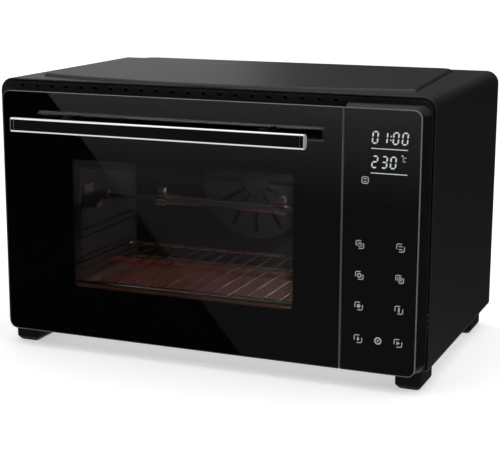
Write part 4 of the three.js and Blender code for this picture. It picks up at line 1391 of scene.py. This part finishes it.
@dataclass
class Door:
    """The drop-down door: printed glass with a window, a pressed pan and an inner pane."""

    corner: float = 10 * MM
    arris: float = 0.55 * MM
    print_gap: float = 0.05 * MM
    print_depth: float = 0.06 * MM
    margin_left: float = 89.5 * MM
    margin_right: float = 55.2 * MM
    margin_sill: float = 59.5 * MM
    margin_head: float = 75.5 * MM
    window_corner: float = 3 * MM
    dot_pitch: float = 2.05 * MM
    dot_radius: float = 0.88 * MM
    dot_band: float = 8.4 * MM

    def glass_outline(self, inset: float) -> list[Point2]:
        """The glass's outline, square where it meets the control panel."""
        square = 1 * MM
        return inset_rectangle(Box.of("door_outer_glass"), inset, (self.corner, square, square, self.corner))

    def window(self) -> tuple[float, float, float, float]:
        """The window's sides: left, right, sill and head."""
        box = Box.of("door_outer_glass")
        return (
            box.low.x + self.margin_left,
            box.high.x - self.margin_right,
            box.low.z + self.margin_sill,
            box.high.z - self.margin_head,
        )

    def build(self) -> None:
        """Builds the door's pieces."""
        box = Box.of("door_outer_glass")
        pane = softened(slab(self.glass_outline, box.low.y, box.high.y, self.arris), 0.0, sharp=25.0)
        keep_piece("door_glass", pane, [FRONT_GLASS, GROUND_EDGE], Body.DOOR, ["door_outer_glass"])
        self.printing(box)
        refined("door_frame", DOOR_ENAMEL, 0.35 * MM)
        refined("door_inner_glass", INNER_GLASS, 0.4 * MM)
        for where in ("left", "right"):
            refined(f"hinge_pin_{where}", STEEL, 0.3 * MM)
            refined(f"hinge_bracket_{where}", STEEL, 0.25 * MM)

    def printing(self, box: Box) -> None:
        """The black ground printed behind the glass and the dots round its window.

        Args:
            box: the glass's box.
        """
        x0, x1, z0, z1 = self.window()
        front = box.high.y + self.print_gap
        back = front + self.print_depth
        outer = self.glass_outline(0.4 * MM)
        opening = rounded(x0, x1, z0, z1, [self.window_corner] * 4)
        rings = [at_y(outer, front), at_y(outer, back), at_y(opening, back), at_y(opening, front)]
        ground = softened(stack(rings, loop=True), 0.0)
        keep_piece("door_print", ground, [PRINT_BLACK], Body.DOOR)
        width, height = x1 - x0 - self.dot_pitch, z1 - z0 - self.dot_pitch
        sizes = {
            "Width": width,
            "Height": height,
            "Columns": round(width / self.dot_pitch) + 1,
            "Rows": round(height / self.dot_pitch) + 1,
            "Radius": self.dot_radius,
            "Band": self.dot_band,
            "Depth": self.print_depth,
            "Centre": ((x0 + x1) / 2, (front + back) / 2, (z0 + z1) / 2),
        }
        dots = cooked(dot_border_recipe(), sizes, PRINT_BLACK)
        keep_piece("window_dots", dots, [PRINT_BLACK], Body.DOOR)


@dataclass
class Handle:
    """A polished bar with brushed end caps on two turned posts."""

    eased: float = 2.6 * MM
    joint: float = 0.06 * MM
    end: float = 0.6 * MM
    post_foot: float = 9 * MM

    def section(self) -> list[Point2]:
        """The bar's section: flat in front with eased edges and a full curve behind.

        Returns:
            Its points, as Y and Z.
        """
        bar = Box.of("handle_bar")
        front, back = bar.low.y, bar.high.y
        middle, half = bar.middle.z, (bar.high.z - bar.low.z) / 2
        points: list[Point2] = []
        for side in (-1, 1):
            edge = []
            for k in range(9):
                a = math.pi / 2 * k / 8
                y = front + self.eased - self.eased * math.cos(a)
                edge.append((y, middle + side * (half - self.eased + self.eased * math.sin(a))))
            for k in range(1, 15):
                a = math.pi / 2 * k / 14
                reach = back - front - self.eased
                bulge = math.sin(a) ** 0.8
                edge.append((front + self.eased + reach * bulge, middle + side * half * math.cos(a) ** 0.7))
            points = points + edge if side < 0 else points + edge[:-1][::-1]
        return points

    def length(self, x0: float, x1: float, left: float, right: float) -> Mesh:
        """A length of the bar.

        Args:
            x0, x1: its ends.
            left, right: how far each end is eased.

        Returns:
            Its mesh; the eased ends have material index 0 and what lies between them index 1.
        """
        outline = self.section()
        cy = sum(y for y, _ in outline) / len(outline)
        cz = sum(z for _, z in outline) / len(outline)
        rings = []
        for x, inset in ((x0, left), (x0 + left, 0.0), (x1 - right, 0.0), (x1, right)):
            ring = []
            for y, z in outline:
                out = Vector((0.0, y - cy, z - cz))
                ring.append(Vector((x, y, z)) - out.normalized() * inset)
            rings.append(ring)
        return stack(rings, bands=(0, 1, 0))

    def build(self) -> None:
        """Builds the bar, its caps, posts and screws."""
        bar = Box.of("handle_bar")
        rail = softened(self.length(bar.low.x, bar.high.x, self.joint, self.joint), 0.0)
        keep_piece("handle_rail", rail, [CHROME, CHROME], Body.DOOR, ["handle_bar"])
        for where, eases in (("left", (self.end, self.joint)), ("right", (self.joint, self.end))):
            node = f"handle_end_cap_{where}"
            cap = Box.of(node)
            mesh = softened(self.length(cap.low.x, cap.high.x, *eases), 0.0)
            keep_piece(f"{node}_finished", mesh, [BRUSHED, CHROME], Body.DOOR, [node])
            self.post(f"handle_post_{where}")
            refined(f"handle_screw_{where}", STEEL, 0.3 * MM)

    def post(self, node: str) -> None:
        """One post: a collar at the glass, a waist and a neck at the bar.

        Args:
            node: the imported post.
        """
        box = Box.of(node)
        back, front = box.high.y, box.low.y
        reach = back - front
        shares = [(0.0, 0.96), (0.03, 1.0), (0.12, 1.0), (0.2, 0.88), (0.4, 0.76), (0.7, 0.71), (1.0, 0.74)]
        profile = [(back - reach * along, self.post_foot * r) for along, r in shares]
        mesh = softened(stack(turned_rings(Axis.Y, box.middle, profile, 40)), 0.0, sharp=50.0)
        keep_piece(f"{node}_turned", mesh, [GLOSS_PLASTIC], Body.DOOR, [node])


@dataclass
class ControlPanel:
    """The fixed glass at the right with its housing, lit display and touch legends."""

    corner: float = 9 * MM
    arris: float = 0.55 * MM
    flare: float = 7.8 * MM
    top_flare: float = 5 * MM
    wall: float = 3 * MM
    ink_gap: float = 0.05 * MM
    ink: float = 0.05 * MM
    slant: float = 0.09

    def glass_outline(self, inset: float) -> list[Point2]:
        """The panel glass's outline."""
        square = 1 * MM
        radii = (square, self.corner, self.corner, square)
        return inset_rectangle(Box.of("control_panel_glass"), inset, radii)

    def build(self) -> None:
        """Builds the panel's pieces."""
        box = Box.of("control_panel_glass")
        pane = softened(slab(self.glass_outline, box.low.y, box.high.y, self.arris), 0.0, sharp=25.0)
        keep_piece("panel_glass", pane, [FRONT_GLASS, GROUND_EDGE], Body.OVEN, ["control_panel_glass"])
        behind = box.high.y + 3 * self.ink_gap
        outline = self.glass_outline(0.4 * MM)
        ground = self.printed(outline, behind)
        keep_piece("panel_print", softened(ground, 0.0), [PRINT_BLACK], Body.OVEN)
        self.housing()
        refined("display_module", DISPLAY_DARK, 0.2 * MM)
        refined("touch_board", BOARD, 0.15 * MM)
        refined("power_board", BOARD, 0.2 * MM)
        face = box.high.y + self.ink_gap
        self.display(face, box)
        self.keys(face, box)

    def housing(self) -> None:
        """The gloss housing, wider at its back than the glass."""
        box = Box.of("control_panel_housing")
        front, back = box.low.y, box.high.y
        x0, x1 = box.low.x, box.high.x - self.flare
        z0, z1 = box.low.z, box.high.z - self.top_flare

        def outline(share: float, inset: float) -> list[Point2]:
            """The outer face's outline.

            Args:
                share: how far back it is.
                inset: distance inside the face.

            Returns:
                Its points, as X and Z.
            """
            grow, rise = self.flare * share - inset, self.top_flare * share - inset
            corner = self.corner + grow / 2
            radii = (0.5 * MM, corner, corner, 0.5 * MM)
            return rounded(x0 + inset, x1 + grow, z0 + inset, z1 + rise, radii, 12)

        wall = self.wall
        inner = rounded(x0 + wall, x1 - wall, z0 + wall, z1 - wall, [self.corner - wall] * 4, 12)
        ease = 0.7 * MM
        length = back - front
        rings = [
            at_y(outline(0.0, ease), front),
            at_y(outline(ease / length, 0.0), front + ease),
            at_y(outline(1.0 - ease / length, 0.0), back - ease),
            at_y(outline(1.0, ease), back),
            at_y(inner, back),
            at_y(inner, front),
        ]
        mesh = softened(stack(rings, loop=True), 0.0, sharp=40.0)
        keep_piece("panel_housing", mesh, [GLOSS_PLASTIC], Body.OVEN, ["control_panel_housing"])

    def printed(self, outline: Sequence[Point2], face: float) -> Mesh:
        """A filled shape as thick as the ink."""
        return stack([at_y(outline, face), at_y(outline, face + self.ink)])

    def stroke(self, points: Sequence[Point2], width: float, face: float, closed: bool = False) -> Mesh:
        """A thin printed line.

        Args:
            points: the line's corners, as X and Z.
            width: the line's width.
            face: its front face.
            closed: whether it comes back to its start.

        Returns:
            A closed solid as thick as the ink.
        """
        path = [Vector((x, 0.0, z)) for x, z in points]
        count = len(path)
        rings = []
        for i, point in enumerate(path):
            before = path[(i - 1) % count] if closed or i else point
            after = path[(i + 1) % count] if closed or i < count - 1 else point
            first, second = (point - before), (after - point)
            coming = (first if first.length else second).normalized()
            going = (second if second.length else first).normalized()
            along = (coming + going).normalized()
            side = Vector((-along.z, 0.0, along.x)) * width / 2
            if first.length and second.length:
                side /= max(0.5, abs(along.dot(first.normalized())))
            front, back = Vector((0.0, face, 0.0)), Vector((0.0, face + self.ink, 0.0))
            left, right = point - side, point + side
            rings.append([right + front, left + front, left + back, right + back])
        return stack(rings, loop=closed)

    def digit(self, value: str, x: float, z: float, width: float, height: float, face: float) -> list[Mesh]:
        """A seven-segment figure.

        Args:
            value: the figure.
            x, z: its lower left corner.
            width, height: its size.
            face: its front face.

        Returns:
            One mesh for each lit segment.
        """
        half = height / 2
        ends = {
            "a": ((0, height), (width, height)),
            "b": ((width, height), (width, half)),
            "c": ((width, half), (width, 0)),
            "d": ((0, 0), (width, 0)),
            "e": ((0, half), (0, 0)),
            "f": ((0, height), (0, half)),
            "g": ((0, half), (width, half)),
        }
        lit = {"0": "abcdef", "1": "bc", "2": "abged", "3": "abgcd", "C": "afed"}[value]
        thick, gap = height * 0.13, height * 0.04
        made = []
        for key in lit:
            (ax, az), (bx, bz) = ends[key]
            start, end = Vector((ax, 0, az)), Vector((bx, 0, bz))
            along = (end - start).normalized()
            start, end = start + along * gap, end - along * gap
            tip = along * thick / 2
            side = Vector((-along.z, 0, along.x)) * thick / 2
            corners = [start, start + tip + side, end - tip + side, end, end - tip - side, start + tip - side]
            outline = [(x + p.x + self.slant * p.z, z + p.z) for p in corners]
            made.append(self.printed(outline, face))
        return made

    def display(self, face: float, box: Box) -> None:
        """The clock, the temperature and the bars below them.

        Args:
            face: front face of the printing.
            box: the panel glass's box.
        """
        right, top = box.high.x, box.high.z
        lines: list[Mesh] = []
        high, wide = 11.9 * MM, 5.4 * MM
        clock_z, heat_z = top - 36.15 * MM, top - 61.7 * MM
        for value, offset in (("0", 52.95), ("1", 42.8), ("0", 30.75), ("0", 20.95)):
            lines += self.digit(value, right - offset * MM, clock_z, wide, high, face)
        for value, offset in (("2", 52.95), ("3", 42.6), ("0", 33.05)):
            lines += self.digit(value, right - offset * MM, heat_z, wide, high, face)
        lines += self.digit("C", right - 19.6 * MM, heat_z + 7.7 * MM, 3.4 * MM, 4.2 * MM, face)
        for share in (0.32, 0.66):
            rise = high * share
            lines.append(self.dot(right - 33.4 * MM + self.slant * rise, clock_z + rise, 0.8 * MM, face))
        lines.append(self.ring(right - 20.3 * MM, heat_z + 13.6 * MM, 0.7 * MM, 0.5 * MM, face))
        for below in (41.8, 67.6):
            z = top - below * MM
            lines.append(self.stroke([(right - 53.9 * MM, z), (right - 14.5 * MM, z)], 0.9 * MM, face))
        keep_piece("display_figures", joined(lines), [SCREEN_WHITE], Body.OVEN)
        symbol = self.oven_symbol(right - 59.7 * MM, top - 75.7 * MM, 7.0 * MM, face)
        keep_piece("display_symbol", joined(symbol), [LEGEND_GREY], Body.OVEN)

    def dot(self, x: float, z: float, radius: float, face: float) -> Mesh:
        """A printed dot."""
        outline = [(x + radius * math.cos(a), z + radius * math.sin(a)) for a in self.turn(16)]
        return self.printed(outline, face)

    def ring(self, x: float, z: float, radius: float, width: float, face: float) -> Mesh:
        """A printed ring."""
        points = [(x + radius * math.cos(a), z + radius * math.sin(a)) for a in self.turn(20)]
        return self.stroke(points, width, face, closed=True)

    @staticmethod
    def turn(count: int) -> list[float]:
        """Equal angles once round."""
        return [2 * math.pi * k / count for k in range(count)]

    def oven_symbol(self, x: float, z: float, size: float, face: float) -> list[Mesh]:
        """A rounded square with two bars in it, for the heat from above and below.

        Args:
            x, z: its middle.
            size: its side.
            face: its front face.

        Returns:
            One mesh for each line.
        """
        half = size / 2
        outline = rounded(x - half, x + half, z - half, z + half, [size * 0.28] * 4, 5)
        made = [self.stroke(outline, size * 0.14, face, closed=True)]
        for rise in (-0.2, 0.2):
            level = z + rise * size
            made.append(self.stroke([(x - half * 0.5, level), (x + half * 0.5, level)], size * 0.13, face))
        return made

    def brackets(self, x: float, z: float, size: float, face: float) -> list[Mesh]:
        """Two open corners, upper left and lower right, round a key.

        Args:
            x, z: the key's middle.
            size: its side.
            face: front face of the printing.

        Returns:
            One mesh for each corner.
        """
        half, bend, width = size / 2, size * 0.2, size * 0.11
        made = []
        for side in (-1, 1):
            arc = []
            for k in range(6):
                a = math.pi / 2 * k / 5
                arc.append((half - bend + bend * math.cos(a), half - bend + bend * math.sin(a)))
            line = [(half, -half * 0.35)] + arc + [(-half * 0.35, half)]
            points = [(x + side * u, z - side * v) for u, v in line]
            made.append(self.stroke(points, width, face))
        return made

    def keys(self, face: float, box: Box) -> None:
        """The touch keys: eight in two columns and a round one between the lowest pair.

        Args:
            face: front face of the printing.
            box: the panel glass's box.
        """
        columns = (box.low.x + 19.6 * MM, box.high.x - 19.6 * MM)
        rows = [box.low.z + rise * MM for rise in (139.5, 105.8, 72.2, 35.8)]
        size = 8.4 * MM
        made: list[Mesh] = []
        for row, z in enumerate(rows):
            for column, x in enumerate(columns):
                made += self.brackets(x, z, size, face)
                made += self.pictogram(row * 2 + column, x, z, face)
        middle = sum(columns) / 2
        made.append(self.ring(middle, rows[-1], 3.3 * MM, 1.5 * MM, face))
        made.append(self.dot(middle, rows[-1], 1.1 * MM, face))
        keep_piece("touch_legends", joined(made), [LEGEND_GREY], Body.OVEN)

    def pictogram(self, index: int, x: float, z: float, face: float) -> list[Mesh]:
        """A plain sign for a key: clock, oven, ring, lamp, fan, pin, drop or arrow.

        Args:
            index: the key's number, from the upper left, row by row.
            x, z: its middle.
            face: front face of the printing.

        Returns:
            One mesh for each part of the sign.
        """
        u = 1.0 * MM
        if index == 0:
            hands = self.stroke([(x, z + 1.6 * u), (x, z), (x + 1.2 * u, z)], 0.8 * u, face)
            return [self.ring(x, z, 2.3 * u, 0.7 * u, face), hands]
        if index == 1:
            left, right = x - 2.2 * u, x + 2.2 * u
            levels = (z - 1.6 * u, z + 1.6 * u)
            return [self.stroke([(left, level), (right, level)], 0.9 * u, face) for level in levels]
        if index == 2:
            return [self.ring(x, z, 1.9 * u, 1.2 * u, face)]
        if index == 3:
            return [self.ring(x, z, 2.4 * u, 0.8 * u, face), self.dot(x, z, 1.0 * u, face)]
        if index == 4:
            arms = [
                self.stroke([(x, z), (x + 2.4 * u * math.cos(a), z + 2.4 * u * math.sin(a))], 1.3 * u, face)
                for a in self.turn(5)
            ]
            return [*arms, self.dot(x, z, 1.1 * u, face)]
        if index == 5:
            return [self.stroke([(x, z - 2.6 * u), (x, z + 2.6 * u)], 1.7 * u, face)]
        if index == 6:
            left, right = (x - 1.5 * u, z - 0.6 * u), (x + 1.5 * u, z - 0.6 * u)
            outline = [(x, z + 2.7 * u), right, (x, z - 2.4 * u), left]
            return [self.printed(outline, face)]
        outline = [(x - 1.5 * u, z + 2.2 * u), (x + 2.1 * u, z), (x - 1.5 * u, z - 2.2 * u)]
        return [self.printed(outline, face)]


@dataclass
class Cavity:
    """The enamelled cavity with its rack, tray, elements, fan, lamp and sensors."""

    wire: float = 1.5 * MM
    outer_wire: float = 2.4 * MM
    rack_pitch: float = 21 * MM
    rack_corner: float = 9 * MM
    element: float = 3.5 * MM

    def build(self) -> None:
        """Builds everything inside the cavity and what drives it from behind."""
        refined("cavity_liner", ENAMEL, 0.25 * MM)
        refined("crumb_tray", ALUMINISED, 0.3 * MM)
        refined("fan_guard", ENAMEL, 0.3 * MM, 40.0)
        refined("convection_fan", ALUMINISED, 0.2 * MM)
        refined("cooling_fan", ALUMINISED, 0.2 * MM)
        for node in ("fan_shaft", "fan_motor", "thermal_cutout", "temperature_probe"):
            refined(node, STEEL, 0.25 * MM)
        refined("fan_motor_bracket", ALUMINISED, 0.2 * MM)
        refined("lamp_cover", LAMP_GLASS, 0.8 * MM)
        refined("lamp_holder", CERAMIC, 0.3 * MM)
        refined("lamp_bulb", BULB_GLOW, 0.8 * MM)
        for place in ("front", "rear"):
            self.rod(f"upper_element_{place}", HOT_ELEMENT)
            self.rod(f"lower_element_{place}", WARM_ELEMENT)
        self.rack()

    def rod(self, node: str, sheath: Glow) -> None:
        """One heating element: a round sheath with a ceramic bush at each wall and cold ends.

        Args:
            node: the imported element.
            sheath: finish of the stretch between the bushes.
        """
        box, liner = Box.of(node), Box.of("cavity_liner")
        r = self.element
        gap, bevel = 0.3 * MM, 0.5 * MM
        profile: list[Point2] = [(box.low.x, r * 0.6), (box.low.x + 1 * MM, r)]
        bush = 6 * MM
        for start in (liner.low.x - gap - bush, liner.high.x + gap):
            end = start + bush
            profile += [(start, r), (start, 2 * r - bevel), (start + bevel, 2 * r)]
            profile += [(end - bevel, 2 * r), (end, 2 * r - bevel), (end, r)]
        profile += [(box.high.x - 1 * MM, r), (box.high.x, r * 0.6)]
        bands = [0, 0, 1, 1, 1, 1, 1, 2, 1, 1, 1, 1, 1, 0, 0]
        mesh = stack(turned_rings(Axis.X, box.middle, profile, 24), bands=bands)
        keep_piece(f"{node}_rod", softened(mesh, 0.0), [STEEL, CERAMIC, sheath], Body.OVEN, [node])

    def rack(self) -> None:
        """The wire rack."""
        box = Box.of("wire_rack")
        thick = self.outer_wire
        width, depth = box.high.x - box.low.x - 2 * thick, box.high.y - box.low.y - 2 * thick
        sizes = {
            "Width": width,
            "Depth": depth,
            "Bays": round(width / self.rack_pitch),
            "Outer Radius": thick,
            "Wire Radius": self.wire,
            "Corner": self.rack_corner,
            "Lift": 0.6 * MM,
            "Centre": (box.middle.x, box.middle.y, box.high.z - thick),
        }
        mesh = cooked(wire_rack_recipe(), sizes, RACK_CHROME)
        keep_piece("rack_wires", softened(mesh, 0.0, sharp=50.0), [RACK_CHROME], Body.RACK, ["wire_rack"])


@dataclass
class Rotisserie:
    """The spit with its forks, and the drive that turns it."""

    def build(self) -> None:
        """Builds the spit's pieces."""
        for node in ("spit_rod", "drive_coupling", "spit_support", "rotisserie_motor"):
            refined(node, STEEL, 0.3 * MM)
        for where in ("left", "right"):
            refined(f"spit_fork_{where}", RACK_CHROME, 0.3 * MM)
            refined(f"fork_screw_{where}", STEEL, 0.4 * MM)


@dataclass
class Feet:
    """Four moulded feet and their screws."""

    corner: float = 4 * MM
    chamfer: float = 4 * MM

    def build(self) -> None:
        """Builds the feet."""
        for end in ("front", "rear"):
            for side in ("left", "right"):
                self.foot(f"foot_{end}_{side}")
                refined(f"foot_screw_{end}_{side}", STEEL, 0.3 * MM)

    def foot(self, node: str) -> None:
        """One foot: a block that draws in to its sole, with a round recess for its screw.

        Args:
            node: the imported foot.
        """
        box = Box.of(node)

        def outline(inset: float) -> list[Point2]:
            """The foot's outline from above."""
            sides = (box.low.x + inset, box.high.x - inset, box.low.y + inset, box.high.y - inset)
            return rounded(*sides, [self.corner] * 4, 8)

        layers = [(self.chamfer, 0.0), (self.chamfer - 0.6 * MM, 0.3 * MM)]
        layers += [(0.5 * MM, self.chamfer), (0.0, 5.5 * MM)]
        rings = [at_z(outline(inset), box.low.z + rise) for inset, rise in layers]
        rings.append(at_z(outline(0.0), box.high.z))
        solid = stack(rings)
        recess = stack(turned_rings(Axis.Z, box.middle, [(-1 * MM, 6 * MM), (9 * MM, 6 * MM)], 24))
        mesh = cut_or_fused(solid, recess, "DIFFERENCE")
        keep_piece(f"{node}_moulded", softened(mesh, 0.0, sharp=28.0), [FOOT_PLASTIC], Body.OVEN, [node])


@dataclass
class CordGland:
    """The rubber bush where the mains lead goes in."""

    def build(self) -> None:
        """Builds the bush with a rounded flange and an open bore."""
        box = Box.of("cord_gland")
        outer = (box.high.x - box.low.x) / 2
        sleeve, bore = outer - 4 * MM, 4 * MM
        front, back = box.low.y, box.high.y
        flange = back - 4.7 * MM
        profile = [(front, sleeve - 0.5 * MM), (front + 0.5 * MM, sleeve), (flange, sleeve)]
        profile += [(flange, outer - 0.6 * MM), (flange + 0.6 * MM, outer), (back - 1.4 * MM, outer)]
        profile += [(back - 0.4 * MM, outer - 1.0 * MM), (back, outer - 2.4 * MM), (back, bore + 1 * MM)]
        profile += [(back - 1 * MM, bore), (front, bore)]
        mesh = stack(turned_rings(Axis.Y, box.middle, profile, 40), loop=True)
        keep_piece("cord_bush", softened(mesh, 0.0, sharp=40.0), [RUBBER], Body.OVEN, ["cord_gland"])


# ---------------------------------------------------------------- studio


@dataclass
class Studio:
    """A pale floor, soft light from above and the camera."""

    eye: tuple[float, float, float] = (0.5998, -1.4762, 0.4770)
    turn: float = 22.90
    tilt: float = 12.456
    lens: float = 97.1
    shift: Point2 = (0.0388, 0.0201)
    floor_size: float = 60.0

    def build(self) -> None:
        """Sets up the whole studio."""
        scene = bpy.context.scene
        scene.view_settings.view_transform = "Standard"
        self.camera()
        self.floor()
        self.world()
        self.lights()
        self.card()

    def camera(self) -> None:
        """The camera."""
        data = bpy.data.cameras.new("camera")
        data.lens = self.lens
        data.sensor_width = 36.0
        data.shift_x, data.shift_y = self.shift
        data.clip_start = 0.05
        camera = placed("camera", data)
        camera.location = self.eye
        camera.rotation_euler = (math.radians(90.0 - self.tilt), 0.0, math.radians(self.turn))
        bpy.context.scene.camera = camera

    def floor(self) -> None:
        """A plain pale floor."""
        half = self.floor_size / 2
        corners = [(-half, -half), (half, -half), (half, half), (-half, half)]
        mesh = bpy.data.meshes.new("floor")
        mesh.from_pydata([(x, y, 0.0) for x, y in corners], [], [(0, 1, 2, 3)])
        material = bpy.data.materials.new("floor_white")
        material.use_nodes = True
        inputs = {
            "Base Color": (0.92, 0.92, 0.92, 1.0),
            "Roughness": 0.9,
            "Specular IOR Level": 0.1,
            "Emission Color": (1.0, 1.0, 1.0, 1.0),
            "Emission Strength": 0.48,
        }
        fill(material.node_tree, material.node_tree.nodes["Principled BSDF"], inputs)
        mesh.materials.append(material)
        floor = placed("floor", mesh)
        floor.visible_glossy = False
        floor.visible_transmission = False

    def world(self) -> None:
        """White behind the object; for reflections a studio that is dark level with the lens."""
        world = bpy.data.worlds.new("studio")
        bpy.context.scene.world = world
        world.use_nodes = True
        tree = world.node_tree
        tree.nodes.clear()
        place = add_node(tree, "ShaderNodeTexCoord")
        parts = add_node(tree, "ShaderNodeSeparateXYZ", {0: place.outputs["Generated"]})
        ramp = tree.nodes.new("ShaderNodeValToRGB")
        stops = [(0.0, 0.95), (0.27, 0.95), (0.32, 0.006), (0.74, 0.006), (0.84, 0.9), (1.0, 0.95)]
        half = add_node(
            tree, "ShaderNodeMapRange", {"Value": parts.outputs["Z"], "From Min": -1.0, "From Max": 1.0}
        )
        tree.links.new(half.outputs[0], ramp.inputs[0])
        marks = ramp.color_ramp.elements
        for level, value in stops[1:-1]:
            marks.new(level).color = (value, value, value, 1.0)
        for index in (0, -1):
            marks[index].color = (stops[index][1],) * 3 + (1.0,)
        rays = add_node(tree, "ShaderNodeLightPath")
        dome = add_node(tree, "ShaderNodeBackground", {"Color": ramp.outputs[0], "Strength": 1.0})
        white = add_node(tree, "ShaderNodeBackground", {"Color": (1.0, 1.0, 1.0, 1.0), "Strength": 1.0})
        choice = {0: rays.outputs["Is Camera Ray"], 1: dome.outputs[0], 2: white.outputs[0]}
        seen = add_node(tree, "ShaderNodeMixShader", choice)
        add_node(tree, "ShaderNodeOutputWorld", {0: seen.outputs[0]})

    def lights(self) -> None:
        """A broad light overhead, one at each side and a small warm one in the cavity."""
        self.area("overhead", (0.0, 0.5, 2.2), (0.0, 0.0, 0.1), 2.4, 8.5)
        self.area("front_left", (-1.9, -2.0, 1.6), (0.0, 0.0, 0.15), 1.4, 6.0)
        self.area("right", (2.3, 0.1, 1.3), (0.0, 0.0, 0.15), 1.5, 6.0)
        self.area("back_left", (-1.9, 3.2, 0.75), (0.0, 0.0, 0.3), 1.2, 4.5)
        cover = Box.of("lamp_cover")
        data = bpy.data.lights.new("cavity_lamp", "POINT")
        data.energy = 1.8
        data.color = (1.0, 0.9, 0.8)
        data.shadow_soft_size = 0.012
        lamp = placed("cavity_lamp", data)
        lamp.location = cover.middle - Vector((20 * MM, 0.0, 0.0))
        tray = Box.of("crumb_tray")
        above = tray.middle + Vector((0.0, 0.0, 14 * MM))
        below = tray.middle - Vector((0.0, 0.0, 1.0))
        glow = self.area("tray_glow", above, below, tray.high.x - tray.low.x, 0.055, (1.0, 0.2, 0.09))
        glow.shape = "RECTANGLE"
        glow.size_y = tray.high.y - tray.low.y

    @staticmethod
    def area(
        name: str,
        place: Sequence[float],
        target: Sequence[float],
        size: float,
        energy: float,
        colour: Colour = (1.0, 1.0, 1.0),
    ) -> bpy.types.AreaLight:
        """A square soft light that points at a target.

        Args:
            name: the light's name.
            place: where it stands.
            target: the point that it faces.
            size: its side.
            energy: its power in watts.
            colour: its colour.

        Returns:
            The light's data.
        """
        data = bpy.data.lights.new(name, "AREA")
        data.shape = "SQUARE"
        data.size = size
        data.energy = energy
        data.color = colour
        light = placed(name, data)
        light.location = place
        light.rotation_euler = (Vector(target) - Vector(place)).to_track_quat("-Z", "Y").to_euler()
        return data

    def card(self) -> None:
        """A dim card in front that only the glass front mirrors."""
        corners = [(-1.72, -2.69), (0.05, -0.17), (1.6, -0.17), (1.6, -2.69)]
        mesh = bpy.data.meshes.new("card")
        mesh.from_pydata([(x, y, 2 * MM) for x, y in corners], [], [(0, 1, 2, 3)])
        material = bpy.data.materials.new("card")
        material.use_nodes = True
        tree = material.node_tree
        tree.nodes.clear()
        place = add_node(tree, "ShaderNodeTexCoord")
        parts = add_node(tree, "ShaderNodeSeparateXYZ", {0: place.outputs["Object"]})
        fade = add_node(
            tree,
            "ShaderNodeMapRange",
            {"Value": parts.outputs["Y"], "From Min": -2.4, "From Max": -1.1, "To Min": 0.3, "To Max": 0.06},
        )
        light = add_node(tree, "ShaderNodeEmission", {"Strength": fade.outputs[0]})
        clear = add_node(tree, "ShaderNodeBsdfTransparent")
        both = add_node(tree, "ShaderNodeAddShader", {0: light.outputs[0], 1: clear.outputs[0]})
        add_node(tree, "ShaderNodeOutputMaterial", {0: both.outputs[0]})
        mesh.materials.append(material)
        card = placed("card", mesh)
        card.visible_camera = False
        card.visible_diffuse = False
        card.visible_shadow = False
        panes = bpy.data.collections.new("mirroring_panes")
        for name in ("door_glass", "panel_glass"):
            panes.objects.link(bpy.data.objects[name])
        card.light_linking.receiver_collection = panes


def main() -> None:
    """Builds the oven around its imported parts."""
    logging.basicConfig(level=logging.INFO, format="%(message)s")
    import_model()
    kinds = (Casing, FrontFrame, Door, Handle, ControlPanel, Cavity, Rotisserie, Feet, CordGland)
    for kind in kinds:
        kind().build()
    Studio().build()


if __name__ == "__main__":
    main()
